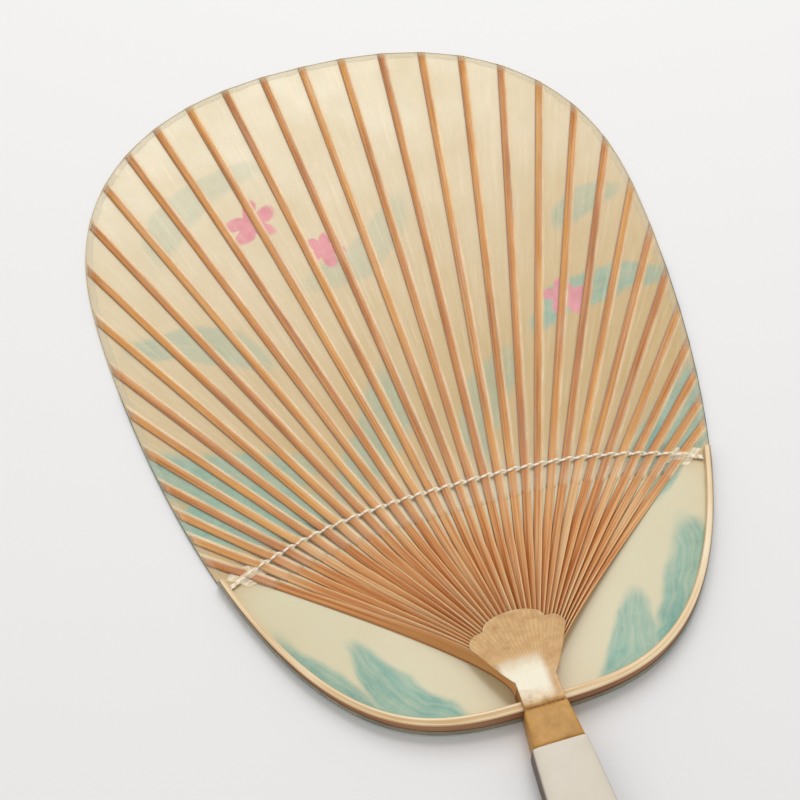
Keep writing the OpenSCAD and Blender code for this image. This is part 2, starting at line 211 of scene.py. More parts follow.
@dataclass(frozen=True)
class FanPlan:
    """The lines of the fan in millimetres."""

    # The face's outline
    face_w: float = 205.0
    face_upper_h: float = 93.4
    widest_y: float = 188.0
    upper_power: float = 2.35
    lower_power_x: float = 3.15
    lower_power_y: float = 1.75
    # The ribs, which turn from standing on edge at the neck to lying flat
    rib_count: int = 33
    rib_t: float = 0.38
    rib_gap: float = 0.03
    rib_w: float = 3.05
    fan_angle: float = 104.6
    twist_len: float = 80.0
    upright_len: float = 3.0
    tip_inset: float = 0.5
    # The thread
    strand_d: float = 0.55
    thread_y: float = 86.8
    thread_drop: float = 12.0
    thread_inset: float = 10.4
    thread_power: float = 2.6
    # The neck, where the bamboo is split
    split_y: float = 8.0
    root_depth: float = 9.2
    depth_power: float = 2.5
    lift_len: float = 12.0
    # The painted sheet, the stock and the bow
    sheet_z: float = 0.6
    sheet_top: float = 0.8
    stock_top: float = 10.0
    glue_gap: float = 0.05
    bow_end_y: float = 74.5
    bow_out: float = 0.25
    # The drawing's height of the shared frame's origin
    mid_y: float = 86.225

    @property
    def last_k(self) -> float:
        """Number of the last rib, counted from the middle one."""
        return (self.rib_count - 1) / 2

    @property
    def neck_half(self) -> float:
        """Half width of the neck."""
        return self.rib_count * (self.rib_t + self.rib_gap) / 2

    @property
    def thread_span(self) -> float:
        """Distance between the thread's crossings of the first and the last rib."""
        end = self.low_point(self.low_angle(self.thread_y - self.thread_drop), 0)
        return 2 * (float(end[0]) - self.thread_inset)

    @property
    def thread_lift(self) -> float:
        """How far the thread lifts the ribs off the sheet."""
        return self.strand_d + 2 * self.glue_gap

    def low_point(self, angle: np.ndarray, out: float) -> np.ndarray:
        """Points of the lower outline.

        Args:
            angle: Degrees from the bow's lowest point, 90 at the right end of the widest line.
            out: Distance outside the outline.

        Returns:
            One row of x and y for each angle.
        """
        a = np.radians(np.asarray(angle, float))
        x = np.sign(np.sin(a)) * (self.face_w / 2 + out) * np.abs(np.sin(a)) ** (2 / self.lower_power_x)
        y = self.widest_y - (self.widest_y + out) * np.abs(np.cos(a)) ** (2 / self.lower_power_y)
        return np.stack([x, y], axis=-1)

    def high_point(self, angle: np.ndarray, out: float) -> np.ndarray:
        """Points of the upper outline.

        Args:
            angle: Degrees from the right end of the widest line.
            out: Distance outside the outline.

        Returns:
            One row of x and y for each angle.
        """
        a = np.radians(np.asarray(angle, float))
        p = 2 / self.upper_power
        x = np.sign(np.cos(a)) * (self.face_w / 2 + out) * np.abs(np.cos(a)) ** p
        y = self.widest_y + (self.face_upper_h + out) * np.abs(np.sin(a)) ** p
        return np.stack([x, y], axis=-1)

    def low_angle(self, y: float) -> float:
        """Angle of the lower outline at a height."""
        return math.degrees(math.acos(((self.widest_y - y) / self.widest_y) ** (self.lower_power_y / 2)))

    def inside(self, p: np.ndarray, out: float) -> np.ndarray:
        """Says which points lie inside the outline.

        Args:
            p: Rows of x and y.
            out: Distance that the outline is moved outwards.

        Returns:
            True for each point inside.
        """
        x = np.abs(p[..., 0]) / (self.face_w / 2 + out)
        dy = p[..., 1] - self.widest_y
        high = x**self.upper_power + np.clip(dy / (self.face_upper_h + out), 0, None) ** self.upper_power
        low = x**self.lower_power_x + np.clip(-dy / (self.widest_y + out), 0, None) ** self.lower_power_y
        return np.where(dy >= 0, high, low) <= 1

    def crossing(self, k: np.ndarray) -> np.ndarray:
        """Where the thread crosses a rib.

        Args:
            k: Rib numbers from the middle.

        Returns:
            Rows of x and y.
        """
        x = np.asarray(k, float) * self.thread_span / (self.rib_count - 1)
        drop = self.thread_drop * (np.abs(x) / (self.thread_span / 2)) ** self.thread_power
        return np.stack([x, self.thread_y - drop], axis=-1)

    def heading(self, k: np.ndarray) -> np.ndarray:
        """Direction of rib k beyond the thread."""
        a = np.radians(np.asarray(k, float) * self.fan_angle / (self.rib_count - 1))
        return np.stack([np.sin(a), np.cos(a)], axis=-1)

    def along(self, k: np.ndarray, s: np.ndarray, side: np.ndarray | float = 0.0) -> np.ndarray:
        """Points beside rib k.

        Args:
            k: Rib numbers from the middle.
            s: Distances past the thread.
            side: Distances to the right.

        Returns:
            Rows of x and y.
        """
        way = self.heading(k)
        right = np.stack([way[..., 1], -way[..., 0]], axis=-1)
        return self.crossing(k) + np.asarray(s)[..., None] * way + np.asarray(side)[..., None] * right

    def reach(self, k: np.ndarray, out: float, side: np.ndarray | float = 0.0) -> np.ndarray:
        """How far past the thread a line beside rib k meets the outline.

        Args:
            k: Rib numbers from the middle.
            out: Distance that the outline is moved outwards.
            side: Distance to the right of the rib's middle.

        Returns:
            One distance for each number.
        """
        k = np.asarray(k, float)
        low, high = np.zeros_like(k), np.full_like(k, 400.0)
        for _ in range(30):
            mid = (low + high) / 2
            held = self.inside(self.along(k, mid, np.zeros_like(k) + side), out)
            low, high = np.where(held, mid, low), np.where(held, high, mid)
        return low

    def fade(self, p: np.ndarray) -> np.ndarray:
        """How much of the twist is left at each point, 1 at the neck."""
        away = np.hypot(np.clip(np.abs(p[..., 0]) - self.neck_half, 0, None), p[..., 1] - self.split_y)
        return np.clip(1 - (away - self.upright_len) / (self.twist_len - self.upright_len), 0, 1)

    def depth(self, p: np.ndarray) -> np.ndarray:
        """Width of a rib at each point."""
        return self.rib_w + (self.root_depth - self.rib_w) * self.fade(p) ** self.depth_power

    def rise(self, p: np.ndarray) -> np.ndarray:
        """Height that a rib takes up at each point."""
        a = np.radians(90 * self.fade(p))
        return self.depth(p) * np.sin(a) + self.rib_t * np.cos(a)

    def seat(self, s: np.ndarray) -> np.ndarray:
        """Height of the ribs' underside at distances from the thread."""
        c = np.clip(np.abs(s) / self.lift_len, 0, 1)
        return self.sheet_top + self.thread_lift * (1 - c * c * (3 - 2 * c))

    def place(self, rows: np.ndarray) -> np.ndarray:
        """Moves points from the drawing to the shared frame, in metres."""
        return (np.asarray(rows, float) - np.array([0.0, self.mid_y, 0.0])) * MM


def bezier(a: np.ndarray, b: np.ndarray, c: np.ndarray, d: np.ndarray, t: np.ndarray) -> np.ndarray:
    """Points of a cubic curve.

    Args:
        a: Start.
        b: First handle.
        c: Second handle.
        d: End.
        t: Places from 0 to 1.

    Returns:
        One row for each place.
    """
    t = t[:, None]
    u = 1 - t
    return u**3 * a + 3 * u * u * t * b + 3 * u * t * t * c + t**3 * d


def turn_normals(rows: np.ndarray) -> np.ndarray:
    """Finds the directions square to a line.

    Args:
        rows: The line's points, as rows of x and y.

    Returns:
        For each point, the unit direction to its left.
    """
    way = np.gradient(rows, axis=0)
    way /= np.linalg.norm(way, axis=1, keepdims=True)
    return np.stack([-way[:, 1], way[:, 0]], axis=-1)


def raised(line: np.ndarray, z: np.ndarray | float) -> np.ndarray:
    """Gives points their height.

    Args:
        line: A row or a grid of points, each x and y.
        z: The height of each point, or of all.

    Returns:
        The points, each x, y and z.
    """
    return np.concatenate([line, np.broadcast_to(z, line.shape[:-1])[..., None]], axis=-1)


# ---------------------------------------------------------------- meshes


@dataclass(frozen=True)
class SweepTree:
    """The Geometry Nodes tree that sweeps a rounded section along a line of rows.

    Each row of the line carries half the section's width and half its thickness as vectors.
    """

    name: str = "sweep along rows"
    inputs: tuple[tuple[str, str], ...] = (
        ("Rows", "Geometry"),
        ("Sides", "Int"),
        ("Squareness", "Float"),
        ("Waver", "Float"),
        ("Waver scale", "Float"),
        ("Seed", "Float"),
        ("Lane", "Float"),
        ("Finish", "Material"),
    )
    merge_distance: float = 2e-6

    def build(self) -> Any:
        """Builds the tree, or finds it.

        Returns:
            The node tree.
        """
        if self.name in bpy.data.node_groups:
            return bpy.data.node_groups[self.name]
        tree = bpy.data.node_groups.new(self.name, "GeometryNodeTree")
        for title, kind in self.inputs:
            tree.interface.new_socket(title, in_out="INPUT", socket_type=f"NodeSocket{kind}")
        tree.interface.new_socket("Skin", in_out="OUTPUT", socket_type="NodeSocketGeometry")
        given = add_node(tree, "NodeGroupInput").outputs

        # A grid of rows by columns, whose first and last columns meet
        line = given["Rows"]
        size = add_node(tree, "GeometryNodeAttributeDomainSize", Geometry=line, component="MESH")
        columns = add_node(tree, "Math ADD", given["Sides"], 1.0)
        grid = add_node(
            tree, "GeometryNodeMeshGrid", Vertices_X=size.outputs["Point Count"], Vertices_Y=columns
        )
        index = add_node(tree, "GeometryNodeInputIndex")
        share = add_node(tree, "Math DIVIDE", index, columns)
        row = add_node(tree, "Math FLOOR", share)
        column = add_node(tree, "Math MODULO", index, columns)
        round_share = add_node(tree, "Math DIVIDE", column, given["Sides"])
        angle = add_node(tree, "Math MULTIPLY", round_share, FULL_TURN)

        # What the line carries at this point's row
        carried = {"place": ("FLOAT_VECTOR", add_node(tree, "GeometryNodeInputPosition"))}
        for title, kind in (("across", "FLOAT_VECTOR"), ("through", "FLOAT_VECTOR"), ("run", "FLOAT")):
            named = add_node(tree, "GeometryNodeInputNamedAttribute", Name=title, data_type=kind)
            carried[title] = (kind, named)
        at_row = {}
        for title, (kind, value) in carried.items():
            at_row[title] = add_node(
                tree,
                "GeometryNodeSampleIndex",
                Geometry=line,
                Value=value,
                Index=row,
                data_type=kind,
                domain="POINT",
            )

        # The section is an oval whose sides grow flatter with its squareness
        power = add_node(tree, "Math DIVIDE", 2.0, given["Squareness"])
        place = at_row["place"]
        for title, wave in (("across", "COSINE"), ("through", "SINE")):
            value = add_node(tree, "Math", angle, operation=wave)
            bare = add_node(tree, "Math ABSOLUTE", value)
            bent = add_node(tree, "Math POWER", bare, power)
            way = add_node(tree, "Math SIGN", value)
            amount = add_node(tree, "Math MULTIPLY", bent, way)
            scaled = add_node(tree, "VectorMath SCALE", at_row[title], Scale=amount)
            place = add_node(tree, "VectorMath ADD", place, scaled)

        # The map goes by length and by the way round, and the skin wavers a little
        lane = add_node(tree, "Math ADD", round_share, given["Lane"])
        by_point = add_node(tree, "CombineXYZ", at_row["run"], lane)
        mapped = add_node(
            tree, "GeometryNodeFieldOnDomain", by_point, data_type="FLOAT_VECTOR", domain="POINT"
        )
        with_map = add_node(
            tree,
            "GeometryNodeStoreNamedAttribute",
            Geometry=grid,
            Name="UVMap",
            Value=mapped,
            data_type="FLOAT2",
            domain="CORNER",
        )
        placed = add_node(tree, "GeometryNodeSetPosition", Geometry=with_map, Position=place)
        noise = add_node(
            tree,
            "TexNoise",
            Scale=given["Waver scale"],
            W=given["Seed"],
            Detail=2.0,
            noise_dimensions="4D",
        ).outputs["Color"]
        centred = add_node(tree, "VectorMath SUBTRACT", noise, (0.5, 0.5, 0.5))
        shift = add_node(tree, "VectorMath SCALE", centred, Scale=given["Waver"])
        skin = add_node(tree, "GeometryNodeSetPosition", Geometry=placed, Offset=shift)
        for kind, extra in (
            ("MergeByDistance", {"Distance": self.merge_distance}),
            ("SetShadeSmooth", {}),
            ("RealizeInstances", {}),
            ("SetMaterial", {"Material": given["Finish"]}),
        ):
            skin = add_node(tree, f"GeometryNode{kind}", skin, **extra)
        add_node(tree, "NodeGroupOutput", Skin=skin)
        return tree


@dataclass
class Swept:
    """A piece whose rounded section is swept along rows by the Geometry Nodes tree."""

    name: str
    middle: np.ndarray
    across: np.ndarray
    through: np.ndarray
    finish: Any
    sides: int = 12
    squareness: float = 6.0
    waver: float = 0.0
    waver_scale: float = 60.0
    seed: float = 0.0
    map_zero: int = 0
    lane: int = 0

    def build(self) -> Any:
        """Makes the piece's mesh. Both ends are closed.

        Returns:
            The finished object.
        """
        none = np.zeros((1, 3))
        middle = np.concatenate([self.middle[:1], self.middle, self.middle[-1:]])
        steps = np.linalg.norm(np.diff(middle, axis=0), axis=1)
        # The map's length is in units of 100 mm
        run = np.concatenate([[0.0], np.cumsum(steps)]) * 10
        run = run - run[self.map_zero]
        rows = bpy.data.meshes.new(self.name + "_rows")
        rows.from_pydata([tuple(p) for p in middle], [(i, i + 1) for i in range(len(middle) - 1)], [])
        for title, values in (("across", self.across), ("through", self.through)):
            layer = rows.attributes.new(title, "FLOAT_VECTOR", "POINT")
            closed = np.concatenate([none, values, none])
            layer.data.foreach_set("vector", closed.astype(np.float32).ravel())
        layer = rows.attributes.new("run", "FLOAT", "POINT")
        layer.data.foreach_set("value", run.astype(np.float32))
        holder = add_object(self.name + "_rows", rows)
        sweep = holder.modifiers.new("sweep", "NODES")
        sweep.node_group = SweepTree().build()
        given = {
            "Sides": self.sides,
            "Squareness": self.squareness,
            "Waver": self.waver * MM,
            "Waver scale": self.waver_scale,
            "Seed": self.seed,
            "Lane": float(self.lane),
            "Finish": self.finish,
        }
        for item in sweep.node_group.interface.items_tree:
            if item.name in given:
                sweep[item.identifier] = given[item.name]
        sight = bpy.context.evaluated_depsgraph_get()
        mesh = bpy.data.meshes.new_from_object(holder.evaluated_get(sight), depsgraph=sight)
        bpy.data.objects.remove(holder)
        mesh.name = self.name
        return add_object(self.name, mesh)


def grid_piece(
    name: str,
    grid: np.ndarray,
    uv: np.ndarray,
    thickness: float,
    finish: Any,
    marks: np.ndarray | None = None,
) -> Any:
    """Makes a sheet from a grid of points and gives it its thickness downwards.

    Args:
        name: The piece's name.
        grid: Points in metres, rows by columns, counter-clockwise seen from outside.
        uv: The map's two values for each point.
        thickness: Thickness in millimetres.
        finish: Its material.
        marks: A second map's two values for each point.

    Returns:
        The finished object.
    """
    rows, columns = grid.shape[:2]
    top = grid.reshape(-1, 3)
    low = top - np.array([0, 0, thickness * MM])
    number = np.arange(rows * columns).reshape(rows, columns)
    a, b, c, d = number[:-1, :-1], number[:-1, 1:], number[1:, 1:], number[1:, :-1]
    upper = np.stack([a, b, c, d], axis=-1).reshape(-1, 4)
    lower = upper[:, ::-1] + rows * columns
    rim = np.concatenate([number[0, :], number[1:, -1], number[-1, -2::-1], number[-2:0:-1, 0]])
    after = np.roll(rim, -1)
    side = np.stack([after, rim, rim + rows * columns, after + rows * columns], axis=-1)
    mesh = bpy.data.meshes.new(name)
    mesh.from_pydata(
        np.concatenate([top, low]).tolist(), [], np.concatenate([upper, lower, side]).tolist()
    )
    corner = np.zeros(len(mesh.loops), np.int64)
    mesh.loops.foreach_get("vertex_index", corner)
    for title, values in (("UVMap", uv), ("Marks", marks)):
        if values is not None:
            both = np.concatenate([values.reshape(-1, 2)] * 2)
            layer = mesh.uv_layers.new(name=title)
            layer.data.foreach_set("uv", both[corner].astype(np.float32).ravel())
    mesh.polygons.foreach_set("use_smooth", np.ones(len(mesh.polygons), bool))
    mesh.materials.append(finish)
    mesh.update()
    return add_object(name, mesh)


def ring_piece(name: str, rings: np.ndarray, finish: Any, smooth: bool = False) -> Any:
    """Makes a closed skin from rings of points.

    Args:
        name: The piece's name.
        rings: Points in metres, ring by ring.
        finish: Its material.
        smooth: Whether its faces are shaded smooth.

    Returns:
        The finished object.
    """
    count, around = rings.shape[:2]
    number = np.arange(count * around).reshape(count, around)
    turned = np.roll(number, -1, axis=1)
    sides = np.stack([number[:-1], turned[:-1], turned[1:], number[1:]], axis=-1).reshape(-1, 4)
    mesh = bpy.data.meshes.new(name)
    faces = sides.tolist() + [number[0, ::-1].tolist(), number[-1].tolist()]
    mesh.from_pydata(rings.reshape(-1, 3).tolist(), [], faces)
    mesh.materials.append(finish)
    mesh.update()
    work = bmesh.new()
    work.from_mesh(mesh)
    bmesh.ops.recalc_face_normals(work, faces=work.faces)
    work.to_mesh(mesh)
    work.free()
    mesh.polygons.foreach_set("use_smooth", np.full(len(mesh.polygons), smooth))
    return add_object(name, mesh)


def soft_noise(x: np.ndarray, y: np.ndarray, seed: int, waves: int = 6) -> np.ndarray:
    """A smooth uneven field from a few waves, the same each run.

    Args:
        x: First coordinates, in waves.
        y: Second coordinates, in waves.
        seed: Which field.
        waves: How many waves are summed.

    Returns:
        Values between about -1 and 1.
    """
    draw = np.random.default_rng(seed)
    total = np.zeros(np.broadcast(x, y).shape)
    for _ in range(waves):
        fx, fy, phase = draw.uniform(0.5, 1.6), draw.uniform(0.5, 1.6), draw.uniform(0, 2 * math.pi)
        way = draw.choice([-1, 1])
        total = total + np.sin(2 * math.pi * (fx * x + way * fy * y) + phase)
    return total / math.sqrt(waves) / 1.5


# ---------------------------------------------------------------- finishes


class Grain(Enum):
    """What a bamboo grain runs along."""

    MAP = "the piece's own map"
    LENGTH = "the fan's length"


@dataclass(frozen=True)
class Bamboo:
    """Split bamboo: straight fibres show as fine lengthwise streaks, and its cut faces are half matt.

    A piece's map gives its length in units of 100 mm from the thread, and then the share of the
    way round its section, which is about 7 mm long. The finest fibres are under 0.1 mm wide, too
    fine to show in the render, so they are drawn 0.24 mm wide or more.
    """

    name: str
    dark: str
    middle: str
    pale: str
    far: tuple[str, str, str] | None = None
    grain: Grain = Grain.MAP
    roughness: float = 0.62
    coat: float = 0.06
    edge: str = ""
    edge_span: tuple[float, float] = (0.31, 0.5)
    edge_least: float = 0.35
    shaded_edge: str = ""
    fibre: float = 0.24
    glow: float = 0.0
    neck_painted_light: str = ""
    specular: float = 0.25
    coat_roughness: float = 0.35
    way_round: float = 7.0
    fibre_depth: float = 0.2
    stops: tuple[float, float, float] = (0.4, 0.5, 0.61)

    def build(self) -> Any:
        """Builds the material.

        Returns:
            The material.
        """
        material, tree, shader = start_material(self.name)
        source = add_node(tree, "TexCoord").outputs
        vector, scale = source["UV"], (1.0, self.way_round / self.fibre, 1.0)
        if self.grain is Grain.LENGTH:
            vector, scale = source["Object"], (1 / (self.fibre * MM), 10.0, 1 / (self.fibre * MM))
        place = add_node(tree, "Mapping", Vector=vector, Scale=scale)
        # Fine streaks, and under them broad ones six fibres wide
        streak = add_node(tree, "TexNoise", Vector=place, Scale=1.0, Detail=5.0, Roughness=0.65)
        broad = add_node(tree, "Mapping", Vector=place, Scale=(2.5, 0.16, 0.16))
        patchy = add_node(tree, "TexNoise", Vector=broad, Scale=1.0, Detail=2.0)
        grain = add_node(tree, "Mix", 0.35, streak, patchy, data_type="FLOAT")
        tones = [
            set_ramp(add_node(tree, "ValToRGB", grain), zip(self.stops, shades))
            for shades in ((self.dark, self.middle, self.pale), self.far)
            if shades
        ]
        length, share = add_node(tree, "SeparateXYZ", source["UV"]).outputs[:2]
        layers = []
        if self.far:
            # Beyond the thread the slats are yellower than on the bent part
            beyond = add_node(tree, "MapRange", length, -0.12, 0.1)
            layers.append((beyond, tones[1]))
        # A few darker lines, where the knife followed a fibre
        scored = add_node(
            tree, "Mapping", Vector=place, Location=(3.0, 5.0, 7.0), Scale=(0.5, 0.8, 0.8)
        )
        lines = add_node(tree, "TexNoise", Vector=scored, Scale=1.0, Detail=1.0)
        layers.append((add_node(tree, "MapRange", lines, 0.43, 0.36, 0.0, 0.75), self.dark))
        if self.neck_painted_light:
            # At the neck, where the slats stand packed on edge, their tone is painted lighter and evener:
            # painted light over the shade in the narrow gaps between them
            neck = add_node(tree, "MapRange", length, -0.45, -0.8, 0.0, 0.6)
            layers.append((neck, self.neck_painted_light))
        # The cosine of the way round is 1 on one edge and -1 on the other
        wave = add_node(tree, "Math MULTIPLY", share, FULL_TURN)
        side = add_node(tree, "Math COSINE", wave)
        broken = add_node(tree, "MapRange", patchy, 0.38, 0.6, self.edge_least)
        # On the slats the pale edge tone is a painted highlight and the shaded edge tone painted shade;
        # on the bow the edge tone is the brown of its outer skin
        for tone, way in ((self.edge, 1), (self.shaded_edge, -1)):
            if tone:
                start, end = (way * bound for bound in self.edge_span)
                near = add_node(tree, "MapRange", side, start, end, 0.0, 0.95)
                shading_and_bare_wood = add_node(tree, "Math MULTIPLY", near, broken)
                layers.append((shading_and_bare_wood, tone))
        bump = add_node(tree, "Bump", Strength=0.35, Distance=self.fibre_depth * MM, Height=streak)
        # Thin slats glow a little, which keeps the narrow gaps between them warm
        connect(
            tree,
            shader,
            Base_Color=lay_over(tree, tones[0], layers),
            Roughness=self.roughness,
            Specular_IOR_Level=self.specular,
            Coat_Weight=self.coat,
            Coat_Roughness=self.coat_roughness,
            Subsurface_Weight=self.glow,
            Subsurface_Radius=(1.0, 0.5, 0.25),
            Subsurface_Scale=1.5 * MM,
            Normal=bump,
        )
        return material


@dataclass(frozen=True)
class Paper:
    """Long-fibred paper or lacquer: mottled in tone, a little wrinkled, with a soft gloss.

    Lengths are in millimetres, and those of the zone painted as lit are in the shared frame.
    """

    name: str
    dark: str
    pale: str
    mottle: float = 9.0
    wrinkle: float = 3.0
    wrinkle_depth: float = 0.15
    roughness: float = 0.42
    coat: float = 0.5
    coat_roughness: float = 0.2
    specular: float = 0.5
    lit_zone: str = ""
    lit_zone_x: float = -3.0
    lit_zone_y: tuple[float, float] = (-83.0, -70.0)
    lit_zone_half: float = 6.5
    shown: str = ""
    torn: str = ""
    flank: str = ""
    flank_end: float = 0.0

    def build(self) -> Any:
        """Builds the material.

        Returns:
            The material.
        """
        material, tree, shader = start_material(self.name)
        source = add_node(tree, "TexCoord").outputs
        place = source["Object"]
        spots = add_node(
            tree, "TexNoise", Vector=place, Scale=1 / (self.mottle * MM), Detail=6.0, Roughness=0.6
        )
        ground = set_ramp(add_node(tree, "ValToRGB", spots), [(0.3, self.dark), (0.7, self.pale)])
        connect(
            tree,
            shader,
            Roughness=self.roughness,
            Coat_Weight=self.coat,
            Coat_Roughness=self.coat_roughness,
            Specular_IOR_Level=self.specular,
        )
        layers = []
        if self.shown:
            layers.append((self._ribs_below(tree, source["UV"], spots), self.shown))
        if self.torn:
            layers.append((self._torn_edge(tree, source["UV"], spots), self.torn))
        # The lit zone is painted light: a painted reflection on the neck patch, and the unshaded upper
        # part of the rim's outer fold
        if self.lit_zone:
            layers.append((self._lit_zone(tree, place, spots), self.lit_zone))
        # The dark flanks and underside are painted shade, drawn as bare wood, and the end is bare wood
        if self.flank:
            shading_and_bare_wood = self._flank_shade_and_bare_end(tree, place, source["UV"])
            layers.append((shading_and_bare_wood, self.flank))
            sheen = add_node(tree, "MapRange", shading_and_bare_wood, 0.0, 0.95, self.coat, 0.0)
            connect(tree, shader, Coat_Weight=sheen)
        folds = add_node(
            tree,
            "TexNoise",
            Vector=place,
            Scale=1 / (self.wrinkle * MM),
            Detail=4.0,
            Distortion=0.6,
        )
        bump = add_node(tree, "Bump", Strength=0.6, Distance=self.wrinkle_depth * MM, Height=folds)
        connect(tree, shader, Base_Color=lay_over(tree, ground, layers), Normal=bump)
        return material

    def _ribs_below(self, tree: Any, mapped: Any, spots: Any) -> Any:
        """Finds where a rib shows darker through the paper.

        Args:
            tree: The node tree.
            mapped: The output with the map, whose first value counts the ribs.
            spots: The node with the paper's mottling.

        Returns:
            The node with the amount.
        """
        count = add_node(tree, "SeparateXYZ", mapped).outputs[0]
        turn = add_node(tree, "Math MULTIPLY", count, FULL_TURN)
        wave = add_node(tree, "Math COSINE", turn)
        felt = add_node(tree, "Math MULTIPLY_ADD", spots, 6.0, wave)
        return add_node(tree, "MapRange", felt, 2.6, 4.6, 0.0, 0.3)

    def _torn_edge(self, tree: Any, mapped: Any, spots: Any) -> Any:
        """Finds where the paper's torn edge shows its pale core.

        Args:
            tree: The node tree.
            mapped: The output with the map, whose second value is 1 at the torn edge.
            spots: The node with the paper's mottling.

        Returns:
            The node with the amount.
        """
        edge = add_node(tree, "SeparateXYZ", mapped).outputs[1]
        bare = add_node(tree, "Math MULTIPLY", edge, spots)
        return add_node(tree, "MapRange", bare, 0.1, 0.55, 0.0, 0.7)

    def _lit_zone(self, tree: Any, place: Any, spots: Any) -> Any:
        """Finds the zone painted as lit: on the neck patch a painted reflection of the light, and on the
        rim's outer fold the pale part above its painted shade.

        Args:
            tree: The node tree.
            place: The output with the place.
            spots: The node with the paper's mottling.

        Returns:
            The node with the amount.
        """
        across, along = add_node(tree, "SeparateXYZ", place).outputs[:2]
        ragged = add_node(tree, "Math MULTIPLY_ADD", spots, 6 * MM, along)
        # The mottling adds up to 6 mm, and 3 mm on the whole, so the ends are set 3 mm higher
        soft = 3 * MM
        low, top = ((y + 3.0) * MM for y in self.lit_zone_y)
        above = add_node(tree, "MapRange", ragged, low - soft, low + soft)
        below = add_node(tree, "MapRange", ragged, top + soft, top - soft)
        near = add_node(tree, "Math MULTIPLY", above, below)
        off = add_node(tree, "Math SUBTRACT", across, self.lit_zone_x * MM)
        aside = add_node(tree, "Math ABSOLUTE", off)
        within = add_node(
            tree,
            "MapRange",
            aside,
            (self.lit_zone_half + 2) * MM,
            (self.lit_zone_half - 1) * MM,
            interpolation_type="SMOOTHSTEP",
        )
        return add_node(tree, "Math MULTIPLY", near, within)

    def _flank_shade_and_bare_end(self, tree: Any, place: Any, mapped: Any) -> Any:
        """Finds the dark flanks, underside and far end: on the flanks and below it is painted shade,
        drawn as bare dark wood, and on the end bare wood.

        Args:
            tree: The node tree.
            place: The output with the place.
            mapped: The output with the map, whose second value is a quarter on top.

        Returns:
            The node with the amount.
        """
        share = add_node(tree, "SeparateXYZ", mapped).outputs[1]
        turn = add_node(tree, "Math MULTIPLY", share, FULL_TURN)
        up = add_node(tree, "Math SINE", turn)
        shading_and_bare_wood = add_node(tree, "MapRange", up, 0.62, 0.2, 0.0, 0.95)
        along = add_node(tree, "SeparateXYZ", place).outputs[1]
        start, full = self.flank_end + 1.6 * MM, self.flank_end + 0.8 * MM
        end = add_node(tree, "MapRange", along, start, full, 0.0, 0.95)
        return add_node(tree, "Math MAXIMUM", shading_and_bare_wood, end)


@dataclass(frozen=True)
class Stroke:
    """One brush stroke along an arc, in millimetres of the shared frame."""

    start: tuple[float, float]
    end: tuple[float, float]
    bulge: float
    half_width: float
    strength: float = 1.0

    @property
    def chord(self) -> Vector:
        """From the start to the end."""
        return Vector(self.end) - Vector(self.start)

    @property
    def radius(self) -> float:
        """Radius of the arc."""
        return (self.chord.length_squared / 4 + self.bulge**2) / (2 * abs(self.bulge))

    @property
    def way(self) -> float:
        """1 where the arc bulges to the left of its chord, and -1 where it bulges to the right."""
        return math.copysign(1, self.bulge)

    @property
    def crest(self) -> Vector:
        """Unit direction from the arc's centre to its crest."""
        return Vector((-self.chord.y, self.chord.x)).normalized() * self.way

    @property
    def centre(self) -> tuple[float, float]:
        """Centre of the arc."""
        middle = (Vector(self.start) + Vector(self.end)) / 2
        return tuple(middle + self.crest * (abs(self.bulge) - self.radius))

    @property
    def turn(self) -> float:
        """Degrees to which the crest points."""
        return math.degrees(math.atan2(self.crest.y, self.crest.x))

    @property
    def half_sweep(self) -> float:
        """Half the arc's angle, in degrees."""
        return math.degrees(math.asin(min(1.0, self.chord.length / 2 / self.radius)))


@dataclass(frozen=True)
class Blossom:
    """One five-petalled blossom, in millimetres of the shared frame."""

    centre: tuple[float, float]
    size: float
    turn: float
    petals: int = 5


